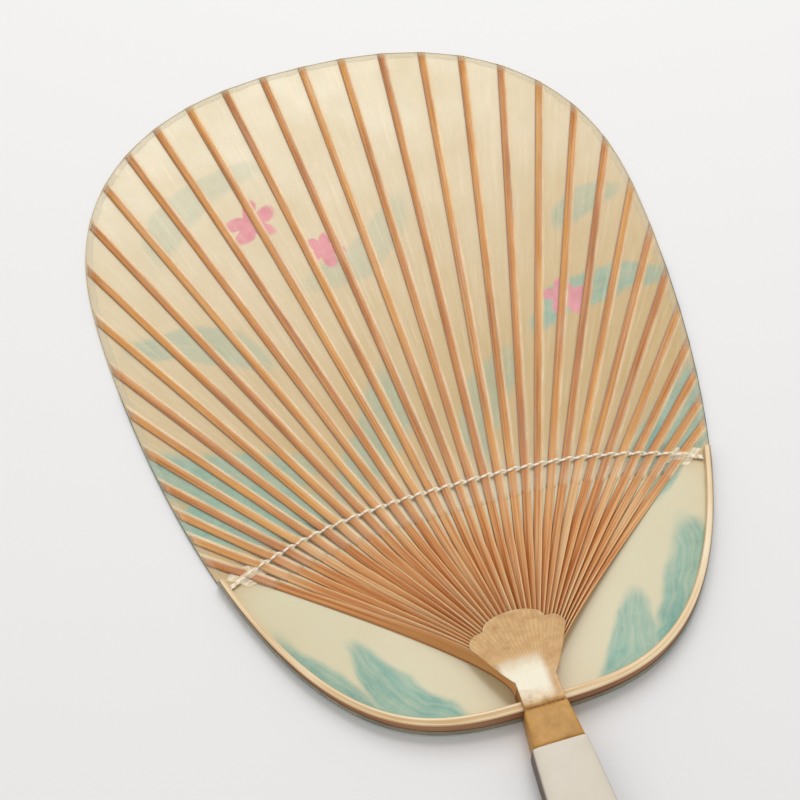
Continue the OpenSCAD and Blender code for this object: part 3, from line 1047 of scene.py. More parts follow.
@dataclass(frozen=True)
class PaintedPaper:
    """Cream paper painted with a soft wet brush: pale teal reeds and pink blossoms under varnish."""

    name: str = "painted paper"
    ground: str = "#EBE0C5"
    ground_dark: str = "#DCCCA6"
    aged: str = "#BC9A54"
    bare: str = "#D0C69E"
    teal: str = "#74A994"
    teal_deep: str = "#469182"
    pink: str = "#E0788C"
    pink_deep: str = "#C8506C"
    roughness: float = 0.5
    coat: float = 0.35
    coat_roughness: float = 0.22
    fibre_depth: float = 0.12
    neck: tuple[float, float, float] = (0.0, -86.0, 0.0)
    strokes: tuple[Stroke, ...] = (
        Stroke((-18, -85), (-50, -42), 8, 8),
        Stroke((-38, -80), (-74, -32), 9, 9, 0.95),
        Stroke((-62, -68), (-90, -20), 7, 9, 0.9),
        Stroke((-82, -34), (-95, -6), 3, 6, 0.8),
        Stroke((20, -84), (42, -52), -6, 8, 0.95),
        Stroke((38, -80), (68, -30), -9, 10),
        Stroke((62, -68), (88, -18), -7, 10, 0.95),
        Stroke((84, -36), (96, -4), -3, 6, 0.8),
        Stroke((-100, 12), (-40, -2), 6, 13, 1.0),
        Stroke((-103, 44), (-40, 24), -9, 12, 0.9),
        Stroke((-98, 84), (-46, 62), 9, 8, 0.5),
        Stroke((-44, 6), (-10, 58), -9, 10, 0.6),
        Stroke((12, 4), (40, 48), 8, 9, 0.5),
        Stroke((56, -10), (100, 26), -8, 12, 1.0),
        Stroke((60, -26), (92, -2), 5, 7, 0.9),
        Stroke((42, 52), (103, 60), 8, 8, 0.85),
        Stroke((68, 92), (100, 104), 4, 7, 0.5),
        Stroke((-78, 116), (-24, 150), 13, 8, 0.28),
        Stroke((-30, 96), (18, 128), -11, 8, 0.3),
    )
    blossoms: tuple[Blossom, ...] = (
        Blossom((-38, 128), 11, 20),
        Blossom((-16, 108), 8.5, 65),
        Blossom((62, 62), 9.5, 10),
    )

    def build(self) -> Any:
        """Builds the material.

        Returns:
            The material.
        """
        material, tree, shader = start_material(self.name)
        place = add_node(tree, "TexCoord").outputs["Object"]
        flat = add_node(tree, "Mapping", Vector=place, Scale=(1 / MM, 1 / MM, 0.0))
        # The wet edge of a stroke wanders by about a millimetre and a half, in waves of 17 mm
        wander = add_node(
            tree, "TexNoise", Vector=flat, Scale=0.06, Detail=3.0, Roughness=0.4
        ).outputs["Color"]
        offset = add_node(tree, "VectorMath SUBTRACT", wander, (0.5, 0.5, 0.5))
        grown = add_node(tree, "VectorMath SCALE", offset, Scale=9.0)
        soft = add_node(tree, "VectorMath ADD", flat, grown)
        amounts = []
        for shapes, paint in ((self.strokes, self._stroke), (self.blossoms, self._blossom)):
            most = 0.0
            for shape in shapes:
                most = add_node(tree, "Math MAXIMUM", most, paint(tree, soft, shape))
            amounts.append(most)
        # The colour gathers in blotches of about 11 mm, and the paper's fibres are about 3 mm long
        wash = add_node(tree, "TexNoise", Vector=flat, Scale=0.09, Detail=8.0, Roughness=0.75)
        pairs = ((self.teal_deep, self.teal), (self.pink_deep, self.pink))
        washes = [
            set_ramp(add_node(tree, "ValToRGB", wash), zip((0.35, 0.6), pair)) for pair in pairs
        ]
        fibres = add_node(tree, "TexNoise", Vector=flat, Scale=0.35, Detail=5.0, Distortion=1.0)
        bump = add_node(tree, "Bump", Strength=0.5, Distance=self.fibre_depth * MM, Height=fibres)
        connect(
            tree,
            shader,
            Base_Color=lay_over(tree, self._ground(tree, flat, soft), zip(amounts, washes)),
            Roughness=self.roughness,
            Coat_Weight=self.coat,
            Coat_Roughness=self.coat_roughness,
            Normal=bump,
        )
        return material

    def _ground(self, tree: Any, flat: Any, soft: Any) -> Any:
        """Colours the paper under the paint.

        Args:
            tree: The node tree.
            flat: The node with the place in millimetres.
            soft: The node with the place as the brush wanders.

        Returns:
            The node with the colour.
        """
        # The cream drifts in tone over about 30 mm
        tone = add_node(tree, "TexNoise", Vector=flat, Scale=0.035, Detail=5.0)
        cream = set_ramp(
            add_node(tree, "ValToRGB", tone), [(0.3, self.ground_dark), (0.65, self.ground)]
        )
        # Under the glossy sheet, which starts at the thread, the varnish has yellowed most low down
        narrowed = add_node(tree, "Mapping", Vector=flat, Scale=(0.68, 1.0, 1.0))
        from_neck = add_node(tree, "VectorMath DISTANCE", narrowed, self.neck)
        beyond = add_node(tree, "MapRange", from_neck, 80.0, 100.0, interpolation_type="SMOOTHSTEP")
        high = add_node(tree, "VectorMath DOT_PRODUCT", soft, (-0.25, 1.0, 0.0))
        low_down = add_node(tree, "MapRange", high, 180.0, 30.0, 0.05)
        yellow = add_node(tree, "Math MULTIPLY", beyond, low_down)
        bare = lay_over(tree, cream, [(0.8, self.bare)])
        return lay_over(tree, bare, [(beyond, cream), (yellow, self.aged)])

    def _polar(
        self, tree: Any, place: Any, centre: tuple[float, float], turn: float
    ) -> tuple[Any, Any]:
        """Distance and angle of a place, seen from a centre.

        Args:
            tree: The node tree.
            place: The node with the place in millimetres.
            centre: The centre.
            turn: Degrees to which the angle of nothing points.

        Returns:
            The nodes with the distance and with the angle in radians.
        """
        away = add_node(tree, "VectorMath SUBTRACT", place, (*centre, 0.0))
        local = add_node(
            tree, "VectorRotate", Vector=away, Angle=-math.radians(turn), rotation_type="Z_AXIS"
        )
        x, y = add_node(tree, "SeparateXYZ", local).outputs[:2]
        far = add_node(tree, "VectorMath LENGTH", local)
        return far, add_node(tree, "Math ARCTAN2", y, x)

    def _stroke(self, tree: Any, place: Any, stroke: Stroke) -> Any:
        """Amount of paint of one stroke.

        Args:
            tree: The node tree.
            place: The node with the place in millimetres.
            stroke: The stroke.

        Returns:
            The node with the amount, 0 to 1.
        """
        far, angle = self._polar(tree, place, stroke.centre, stroke.turn)
        sweep = math.radians(stroke.half_sweep)
        share = add_node(tree, "Math DIVIDE", angle, sweep)
        off = add_node(tree, "Math SUBTRACT", far, stroke.radius)
        near = add_node(tree, "Math DIVIDE", off, stroke.half_width)
        both = add_node(tree, "CombineXYZ", share, near)
        reach = add_node(tree, "VectorMath LENGTH", both)
        # The brush's hairs leave fine lines along the stroke, and it runs dry towards its end
        fine = (1.2, stroke.half_width * 0.6, 1.0)
        hairs = add_node(tree, "Mapping", Vector=both, Scale=fine)
        dry_brush_and_glints = add_node(tree, "TexNoise", Vector=hairs, Scale=1.0, Detail=3.0)
        lean = -0.12 * stroke.way
        spent = add_node(tree, "Math MULTIPLY_ADD", share, lean, dry_brush_and_glints)
        least, most = 0.62 * stroke.strength, stroke.strength
        inked = add_node(tree, "MapRange", spent, 0.68, 0.3, least, most)
        shape = add_node(tree, "MapRange", reach, 1.05, 0.72, interpolation_type="SMOOTHSTEP")
        return add_node(tree, "Math MULTIPLY", shape, inked)

    def _blossom(self, tree: Any, place: Any, blossom: Blossom) -> Any:
        """Amount of paint of one blossom.

        Args:
            tree: The node tree.
            place: The node with the place in millimetres.
            blossom: The blossom.

        Returns:
            The node with the amount, 0 to 1.
        """
        far, angle = self._polar(tree, place, blossom.centre, blossom.turn)
        half = add_node(tree, "Math MULTIPLY", angle, blossom.petals / 2)
        wave = add_node(tree, "Math COSINE", half)
        lobe = add_node(tree, "Math ABSOLUTE", wave)
        edge = add_node(tree, "MapRange", lobe, 0.0, 1.0, 0.5)
        limit = add_node(tree, "Math MULTIPLY", edge, blossom.size)
        share = add_node(tree, "Math DIVIDE", far, limit)
        return add_node(
            tree, "MapRange", share, 1.04, 0.82, 0.0, 0.85, interpolation_type="SMOOTHSTEP"
        )


@dataclass(frozen=True)
class ClearPaper:
    """Thin varnished tissue: half see-through, cream where it gathers, glossy on fine lengthwise folds.

    A piece's map gives its length in units of 100 mm, and then counts the ribs.
    """

    name: str = "clear paper"
    veil: str = "#F8EACB"
    cover: float = 0.035
    spread: float = 0.02
    roughness: float = 0.3
    ior: float = 2.0
    folded: bool = False
    streaks: float = 0.0
    fold: str = "#E4C88C"
    shadow_line: str = "#7E5A34"

    def build(self) -> Any:
        """Builds the material.

        Returns:
            The material.
        """
        material, tree, shader = start_material(self.name)
        place = add_node(tree, "TexCoord").outputs["UV"]
        # Creases about 33 mm long and a ninth of the ribs' spacing wide
        folds = add_node(tree, "Mapping", Vector=place, Scale=(3.0, 9.0, 1.0))
        crease = add_node(
            tree, "TexNoise", Vector=folds, Scale=1.0, Detail=5.0, Roughness=0.6, Distortion=0.7
        )
        cloud = add_node(tree, "TexNoise", Vector=place, Scale=6.0, Detail=3.0)
        least, most = self.cover - self.spread, self.cover + self.spread
        even = add_node(tree, "MapRange", cloud, 0.3, 0.7, least, most)
        # Whiter streaks along the creases are painted glints
        dry_brush_and_glints = add_node(tree, "MapRange", crease, 0.5, 0.74, 0.0, self.streaks)
        cover = add_node(tree, "Math ADD", even, dry_brush_and_glints)
        colour: Any = self.veil
        if self.folded:
            colour, cover = self._folds(tree, place, cover)
        bump = add_node(tree, "Bump", Strength=0.55, Distance=0.4 * MM, Height=crease)
        connect(
            tree,
            shader,
            Base_Color=colour,
            Roughness=self.roughness,
            IOR=self.ior,
            Alpha=cover,
            Normal=bump,
        )
        return material

    def _folds(self, tree: Any, place: Any, cover: Any) -> tuple[Any, Any]:
        """Draws the pale fold over each rib's right edge and a dark line of painted shadow along its left
        one.

        Args:
            tree: The node tree.
            place: The output with the map.
            cover: The node with the amount of cover so far.

        Returns:
            The node with the colour and the one with the amount of cover.
        """
        marks = add_node(tree, "UVMap", uv_map="Marks")
        right, left = add_node(tree, "SeparateXYZ", marks).outputs[:2]
        broken = add_node(tree, "Mapping", Vector=place, Scale=(4.0, 1.0, 1.0))
        uneven = add_node(tree, "TexNoise", Vector=broken, Scale=2.0, Detail=3.0)
        # Each mark fades over the paper beside its edge, the painted shadow line faster than the fold
        for mark, sharp, most in ((right, 2.6, 0.6), (left, 6.0, 0.5)):
            line = add_node(tree, "Math POWER", mark, sharp)
            part = add_node(tree, "MapRange", uneven, 0.35, 0.65, 0.25, most)
            amount = add_node(tree, "Math MULTIPLY", line, part)
            cover = add_node(tree, "Math ADD", cover, amount)
        return lay_over(tree, self.veil, [(right, self.fold), (left, self.shadow_line)]), cover


@dataclass(frozen=True)
class Thread:
    """Twisted cotton thread: off-white fibres lie slanted round it, and it is fully matt."""

    name: str = "twined thread"
    dark: str = "#E0CDA8"
    pale: str = "#FFF9EC"

    def build(self) -> Any:
        """Builds the material.

        Returns:
            The material.
        """
        material, tree, shader = start_material(self.name)
        place = add_node(tree, "TexCoord").outputs["UV"]
        # Three plies wind once round in about 2 mm
        twist = add_node(tree, "Mapping", Vector=place, Scale=(50.0, 1.0, 1.0))
        ply = add_node(
            tree,
            "TexWave",
            Vector=twist,
            Scale=0.5,
            Distortion=1.5,
            Detail=2.0,
            bands_direction="DIAGONAL",
        ).outputs["Fac"]
        colour = set_ramp(add_node(tree, "ValToRGB", ply), [(0.0, self.dark), (0.6, self.pale)])
        bump = add_node(tree, "Bump", Strength=0.8, Distance=0.1 * MM, Height=ply)
        connect(tree, shader, Base_Color=colour, Roughness=0.8, Normal=bump)
        return material


# ---------------------------------------------------------------- the fan's parts


@dataclass
class Ribs:
    """The thirty-three slats split from the neck, twisted flat on their way to the thread."""

    plan: FanPlan
    finishes: Sequence[Any]
    root_run: float = 12.0
    thread_run: float = 52.0
    steps: int = 44
    gathering: float = 1.15
    lift_steps: int = 9
    far_steps: int = 14
    sides: int = 16
    squareness: float = 7.0
    thin: float = 0.985
    cut_run: float = 5.0

    def build(self) -> list[Any]:
        """Makes one piece for each rib and puts it in its CAD node's place.

        Returns:
            The ribs.
        """
        return [self._rib(number) for number in range(1, self.plan.rib_count + 1)]

    def _rib(self, number: int) -> Any:
        """Makes one rib.

        Args:
            number: Its number, from the left.

        Returns:
            The finished object.
        """
        plan = self.plan
        k = number - 1 - plan.last_k
        # Bent from the neck to the thread, and straight from there to the rim
        root = np.array([k * (plan.rib_t + plan.rib_gap), plan.split_y])
        cross, way = plan.crossing(k), plan.heading(k)
        t = np.linspace(0, 1, self.steps) ** self.gathering
        low = bezier(root, root + [0, self.root_run], cross - self.thread_run * way, cross, t)
        far = float(plan.reach(np.array(k), -plan.tip_inset))
        near = min(plan.lift_len, 0.9 * far)
        spans = ((0, near, self.lift_steps), (near, far, self.far_steps))
        s = np.concatenate([np.linspace(*span)[1:] for span in spans])
        rows = np.concatenate([low, plan.along(np.full(len(s), k), s)])
        away = np.concatenate([np.linalg.norm(low - cross, axis=1), s])

        # It turns from standing on edge to lying flat
        angle = np.radians(90 * plan.fade(rows))
        half_w, half_t = plan.depth(rows) / 2 * self.thin, np.full(len(rows), plan.rib_t / 2)
        z = plan.seat(away) + plan.depth(rows) / 2 * np.sin(angle) + half_t * np.cos(angle)
        flat = raised(-turn_normals(rows), 0.0)
        across = (flat * np.cos(angle)[:, None] + UP * np.sin(angle)[:, None]) * half_w[:, None]
        through = (UP * np.cos(angle)[:, None] - flat * np.sin(angle)[:, None]) * half_t[:, None]

        # Its end is cut along the rim
        skew = sum(
            side * float(plan.reach(np.array(k), -plan.tip_inset, side * plan.rib_w / 2))
            for side in (-1, 1)
        )
        past = np.concatenate([0 * low[:, 0], s])
        cut = np.clip(1 - (far - past) / self.cut_run, 0, 1) * skew / 2
        across[:, :2] += way * cut[:, None]
        piece = Swept(
            name=f"slat_{number:02d}",
            middle=plan.place(raised(rows, z)),
            across=across * MM,
            through=through * MM,
            finish=self.finishes[number % len(self.finishes)],
            sides=self.sides,
            squareness=self.squareness,
            map_zero=self.steps,
            lane=number,
        ).build()
        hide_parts(f"rib_{number:02d}")
        return piece


class Line(Enum):
    """The lines that the clear sheet follows along a rib, from its left foot to its right one."""

    LEFT_FOOT = -2
    LEFT_EDGE = -1
    MIDDLE = 0
    RIGHT_EDGE = 1
    RIGHT_FOOT = 2


@dataclass
class ClearSheet:
    """The thin sheet glued over the ribs, which dips to the painted sheet between them.

    Lengths are in millimetres. The ridge is where it goes over the thread, and below the thread it
    is held up, so that it spans from rib to rib and hardly dips.
    """

    plan: FanPlan
    finish: Any
    drop: float = 10.4
    thickness: float = 0.06
    clear: float = 0.06
    foot_right: float = 1.2
    foot_left: float = 0.6
    foot_room: float = 0.85
    crown: float = 0.02
    dip_share: float = 0.45
    dip_clear: float = 0.05
    held_len: float = 3.0
    held_share: float = 0.8
    held_drop: float = 0.1
    ridge_top: float = 0.7
    ridge_foot: float = 2.2
    ridge_clear: float = 0.2
    ridge_dip: float = 0.5
    end_k: float = 0.75
    end_clear: float = 0.12
    bow_in: float = 2.3
    wrinkle: float = 0.16
    wrinkle_rise: float = 0.05
    gap_lines: tuple[float, ...] = (0.17, 0.33, 0.5, 0.67, 0.83)
    low_shares: tuple[float, ...] = (-1, -0.8, -0.6, -0.42, -0.26, -0.14)
    high_count: int = 62

    def build(self) -> Any:
        """Makes the sheet.

        Returns:
            The finished object.
        """
        plan = self.plan
        shares = np.concatenate([self.low_shares, np.linspace(0, 1, self.high_count) ** 1.2])
        columns = [self._end(-1, shares)]
        for k in np.arange(-plan.last_k, plan.last_k + 1):
            columns += [self._line(k, line, shares) for line in Line]
            if k < plan.last_k:
                first, last = columns[-1], self._line(k + 1, Line.LEFT_FOOT, shares)
                for part in self.gap_lines:
                    between = first + (last - first) * part
                    length, count = between[:, 3], between[:, 4]
                    fold = soft_noise(count * 0.9, length * 2.6, 5)
                    swell = (self.wrinkle * fold + self.wrinkle_rise) * math.sin(math.pi * part)
                    between[:, 2] += swell * (length > 0)
                    columns.append(between)
        columns.append(self._end(1, shares))
        grid = np.stack(columns, axis=1)
        place = plan.place(grid[..., :3])
        uv, marks = grid[..., 3:5], grid[..., 5:]
        piece = grid_piece("clear_sheet", place, uv, self.thickness, self.finish, marks)
        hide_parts("back_sheet")
        return piece

    def _run(self, shares: np.ndarray, far: float) -> np.ndarray:
        """Distances past the thread for the rows of one line.

        Args:
            shares: From -1 at the sheet's lower edge over 0 at the thread to 1 at the rim.
            far: Distance from the thread to the rim.

        Returns:
            The distances in millimetres.
        """
        return np.where(shares < 0, self.drop * shares, np.maximum(far, 4.0) * shares)

    def _end(self, side: int, shares: np.ndarray) -> np.ndarray:
        """The sheet's last line, beyond the first or the last rib.

        Args:
            side: -1 on the left and 1 on the right.
            shares: The rows.

        Returns:
            Rows of x, y, z, the map's two values and the marks' two.
        """
        plan = self.plan
        k = side * (plan.last_k + self.end_k)
        s = self._run(shares, float(plan.reach(np.array(k), -self.bow_in)))
        ks = np.full(len(s), k)
        z = np.full(len(s), plan.sheet_top + self.thickness + self.end_clear)
        z = z + 0.5 * np.clip(1 - np.abs(s) / 5, 0, 1)
        extra = np.stack([z, s / 100, ks, 0 * s, 0 * s], axis=-1)
        return np.concatenate([plan.along(ks, s), extra], axis=1)

    def _line(self, k: float, line: Line, shares: np.ndarray) -> np.ndarray:
        """One line of the sheet beside a rib.

        Args:
            k: The rib's number from the middle.
            line: Which line it is.
            shares: The rows.

        Returns:
            Rows of x, y, z, the map's two values and the marks' two.
        """
        plan = self.plan
        flat_side = {
            Line.LEFT_FOOT: -plan.rib_w / 2 - self.foot_left,
            Line.LEFT_EDGE: -plan.rib_w / 2,
            Line.MIDDLE: 0.0,
            Line.RIGHT_EDGE: plan.rib_w / 2,
            Line.RIGHT_FOOT: plan.rib_w / 2 + self.foot_right,
        }[line]
        s = self._run(shares, float(plan.reach(np.array(k), -plan.glue_gap, flat_side)))
        ks = np.full(len(s), k)
        middle = plan.along(ks, s)
        half = plan.depth(middle) / 2 * np.cos(np.radians(90 * plan.fade(middle)))
        pitch = np.linalg.norm(plan.along(ks + 0.5, s) - plan.along(ks - 0.5, s), axis=1)
        feet = self.foot_left + self.foot_right
        room = np.clip((pitch - 2 * half) / feet * self.foot_room, 0.04, 1)
        seat = plan.seat(s)
        high = seat + plan.rise(middle) + self.clear + self.thickness
        low = seat + plan.rib_t + self.clear + self.thickness
        lift = self.dip_share * (seat - plan.sheet_top)
        valley = plan.sheet_top + lift + self.thickness + self.dip_clear
        held = np.clip(-s / self.held_len, 0, 1)
        span = (low + high) / 2 - self.held_drop
        valley = valley + (span - valley) * self.held_share * held
        side, z = {
            Line.LEFT_FOOT: (-half - self.foot_left * room, valley),
            Line.LEFT_EDGE: (-half, low),
            Line.MIDDLE: (0 * s, (low + high) / 2 + self.crown),
            Line.RIGHT_EDGE: (half, high),
            Line.RIGHT_FOOT: (half + self.foot_right * room, valley),
        }[line]
        over = plan.sheet_top + plan.thread_lift + plan.rib_t + plan.strand_d
        over = over + self.ridge_clear + self.clear
        over = over - (self.ridge_dip if line in (Line.LEFT_FOOT, Line.RIGHT_FOOT) else 0.0)
        cap = np.clip((self.ridge_foot - np.abs(s)) / (self.ridge_foot - self.ridge_top), 0, 1)
        z = z + (np.maximum(z, over) - z) * cap
        count = ks + side / np.maximum(pitch, 1)
        marks = [0 * s + float(line is edge) for edge in (Line.RIGHT_EDGE, Line.LEFT_EDGE)]
        extra = np.stack([z, s / 100, count, *marks], axis=-1)
        return np.concatenate([plan.along(ks, s, side), extra], axis=1)


@dataclass
class TwinedThread:
    """Two strands that twine over and under the ribs."""

    plan: FanPlan
    finish: Any
    hold: float = 0.3
    end_k: float = 17.45
    steps: int = 33 * 14
    swell: float = 1.55
    pull: float = 0.12

    def build(self) -> list[Any]:
        """Makes both strands.

        Returns:
            The strands.
        """
        strands = (("strand_over", 1, "thread_over"), ("strand_under", -1, "thread_under"))
        return [self._strand(*strand) for strand in strands]

    def _strand(self, name: str, side: int, node: str) -> Any:
        """Makes one strand.

        Args:
            name: The piece's name.
            side: 1 for the strand that starts above, and -1 for the other.
            node: The CAD node in whose place it is.

        Returns:
            The finished object.
        """
        plan = self.plan
        last = plan.last_k + 0.5
        k = np.linspace(-self.end_k, self.end_k, self.steps)
        inner = np.clip(k, -last, last)
        nearest = np.round(inner)
        off = np.abs(inner - nearest)
        # It is over every second rib and under the others, and both strands cross between two ribs
        parity = np.where(nearest % 2 == 0, 1.0, -1.0)
        level = parity * np.clip((0.5 - off) / (0.5 - self.hold), 0, 1)
        level = np.where(np.abs(k) > last, 0, np.sin(level * math.pi / 2))
        swing_z = plan.rib_t / 2 + plan.strand_d / 2 + plan.glue_gap
        swing_y = 0.72 * plan.strand_d
        p = plan.crossing(k)
        p[:, 1] += side * swing_y * np.sin(math.pi * inner)
        z = plan.sheet_top + plan.thread_lift + plan.rib_t / 2 + side * swing_z * level
        rows = raised(p, z)
        way = np.gradient(rows, axis=0)
        way /= np.linalg.norm(way, axis=1, keepdims=True)
        flat = np.cross(way, UP)
        flat /= np.linalg.norm(flat, axis=1, keepdims=True)
        # It is fuller than its core, and the pull between two ribs makes it thinner there
        r = plan.strand_d / 2 * (self.swell - self.pull * np.clip(off / 0.5, 0, 1) ** 2)
        piece = Swept(
            name=name,
            middle=plan.place(rows),
            across=flat * r[:, None] * MM,
            through=np.cross(flat, way) * r[:, None] * MM,
            finish=self.finish,
            sides=12,
            squareness=2.0,
            waver=0.05,
            waver_scale=400.0,
            seed=3.0,
        ).build()
        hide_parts(node)
        return piece


@dataclass
class Bow:
    """The bent bamboo strip from ear to ear, and the painted paper turned up on its outer side."""

    plan: FanPlan
    finish: Any
    paper: Any
    mid_w: float = 3.5
    end_w: float = 1.8
    mid_h: float = 7.6
    end_h: float = 3.2
    steps: int = 150
    edging_h: float = 3.0
    edging_t: float = 0.2
    edging_steps: int = 220
    edging_ragged: float = 0.35

    def build(self) -> list[Any]:
        """Makes the bow and its edging.

        Returns:
            Both pieces.
        """
        plan = self.plan
        end = plan.low_angle(plan.bow_end_y)
        angle = np.linspace(-end, end, self.steps)
        share = np.abs(angle) / end
        w = self.mid_w + (self.end_w - self.mid_w) * share
        h = self.mid_h + (self.end_h - self.mid_h) * share
        line = plan.low_point(angle, 0)
        normal = -turn_normals(line)
        line = line - normal * (plan.bow_out + w / 2)[:, None]
        bow = Swept(
            name="bent_bow",
            middle=plan.place(raised(line, plan.sheet_top + h / 2)),
            across=raised(normal, 0.0) * (w / 2)[:, None] * MM,
            through=UP[None, :] * (h / 2)[:, None] * MM,
            finish=self.finish,
            sides=28,
            squareness=7.0,
            waver=0.14,
            waver_scale=70.0,
            seed=8.0,
        ).build()
        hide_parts("bow")
        return [bow, self._edging(end)]

    def _edging(self, end: float) -> Any:
        """Makes the paper on the bow's outer side, from ear to ear below the neck band.

        Args:
            end: Angle of the bow's end.

        Returns:
            The finished object.
        """
        plan = self.plan
        angle = np.linspace(-end, end, self.edging_steps)
        outer, inner = plan.low_point(angle, 0.0), plan.low_point(angle, -self.edging_t)
        ragged = self.edging_ragged * np.abs(soft_noise(angle / 14, np.abs(angle) / end, 21))
        top = plan.sheet_top + self.edging_h - ragged
        corners = ((inner, plan.sheet_top), (outer, plan.sheet_top), (outer, top), (inner, top))
        rings = np.stack([raised(line, z) for line, z in corners], axis=1)
        piece = ring_piece("painted_edging", plan.place(rings), self.paper)
        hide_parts("bow_edging")
        return piece


@dataclass
class RimStrip:
    """The strip of paper folded round the rim from ear to ear.

    Its upper side stands on the ribs' tips and sags between them, by the values of its dip.
    """

    plan: FanPlan
    finish: Any
    wall: Any
    width: float = 2.6
    thickness: float = 0.15
    ear_gap: float = 0.6
    top: float = 1.58
    tip_reach: float = 2.6
    sag: float = 0.42
    outer: tuple[int, ...] = (1, 2)

    def build(self) -> Any:
        """Makes the strip.

        Returns:
            The finished object.
        """
        plan = self.plan
        edge, skin = self._outline(self.thickness), self._outline(0.0)
        run = np.linspace(0, 1, len(skin))
        ragged = 0.28 * soft_noise(run * 40, run * 3, 31)
        t, top = self.thickness, self.top
        low_z = plan.sheet_z - plan.glue_gap
        bottom = low_z - self.thickness
        normal = -turn_normals(skin)
        inner_up = skin - normal * (self.width + ragged)[:, None]
        inner_low = skin - normal * (self.width - ragged)[:, None]
        ribs = np.arange(-plan.last_k, plan.last_k + 1)
        tips = plan.along(ribs, plan.reach(ribs, 0.0))
        apart = np.linalg.norm(skin[:, None, :] - tips[None, :, :], axis=2).min(axis=1)
        dip = 1 - np.exp(-((apart / self.tip_reach) ** 2))
        sag = 0.05 + self.sag * dip + 0.06 * soft_noise(run * 60, run, 33)
        # Once round the strip's section, from its lower inner edge over the rim and back inside
        section = (
            (inner_low, bottom),
            (edge - normal * 0.25, bottom),
            (edge, bottom + 0.2),
            (edge, top - 0.3 - 0.3 * dip),
            (edge - normal * 0.3, top - 0.04 - 0.45 * dip),
            ((skin + inner_up) / 2, top - sag / 2),
            (inner_up, top - sag),
            (inner_up, top - sag - t),
            (skin - normal * 0.15, top - t - 0.1 - self.sag * dip),
            (skin - normal * 0.1, low_z),
            (inner_low, low_z),
        )
        rings = np.stack([raised(line, z) for line, z in section], axis=1)
        piece = ring_piece("folded_rim", plan.place(rings), self.finish, True)
        # Its outer upright faces take the outer fold's paper, which carries painted shade low on the
        # sides
        piece.data.materials.append(self.wall)
        for face in piece.data.polygons:
            upright = len(face.vertices) == 4 and face.index % len(section) in self.outer
            face.material_index = int(upright)
        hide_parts("rim_strip")
        return piece

    def _outline(self, out: float) -> np.ndarray:
        """The rim's line from the right ear over the top to the left one.

        Args:
            out: Distance outside the outline.

        Returns:
            Rows of x and y.
        """
        plan = self.plan
        start = plan.low_angle(plan.bow_end_y + self.ear_gap)
        right = plan.low_point(np.linspace(start, 90, 90)[:-1], out)
        left = plan.low_point(np.linspace(-90, -start, 90)[1:], out)
        return np.concatenate([right, plan.high_point(np.linspace(0, 180, 360), out), left])


class Side(Enum):
    """The fan's two ears."""

    LEFT = -1
    RIGHT = 1


@dataclass
class EarPatch:
    """The gathered tissue over one end of the thread, which it covers like a tent."""

    plan: FanPlan
    finish: Any
    side: Side
    first_k: float = 15.3
    last_k: float = 16.95
    half_len: float = 4.3
    thickness: float = 0.08
    base_z: float = 1.5
    tent_h: float = 1.05
    tent_half: float = 1.6
    fold_h: float = 0.16

    def build(self) -> Any:
        """Makes the patch.

        Returns:
            The finished object.
        """
        plan, side = self.plan, self.side.value
        k = np.linspace(self.first_k, self.last_k, 30)[None, :] * side
        s = np.linspace(-self.half_len, self.half_len, 34)[:, None]
        ragged = 1 + 0.16 * soft_noise(k * 1.1, 0 * k, 51 + side)
        s = s * ragged * (1 - 0.25 * np.clip((self.first_k + 0.5 - np.abs(k)) / 0.5, 0, 1))
        k = k + 0 * s
        folds = soft_noise(k * 0.35, s / 2.1, 53 + side)
        z = self.base_z + self.tent_h * np.exp(-((s / self.tent_half) ** 2)) + self.fold_h * folds
        z = z - 0.15 * np.clip(np.abs(s) - 3, 0, None)
        grid = plan.place(raised(plan.along(k, s), z))
        uv = np.stack([s / 20, k], axis=-1)
        if self.side is Side.LEFT:
            grid, uv = grid[:, ::-1], uv[:, ::-1]
        name = self.side.name.lower()
        piece = grid_piece(f"gathered_tissue_{name}", grid, uv, self.thickness, self.finish)
        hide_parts(f"ear_patch_{name}")
        return piece


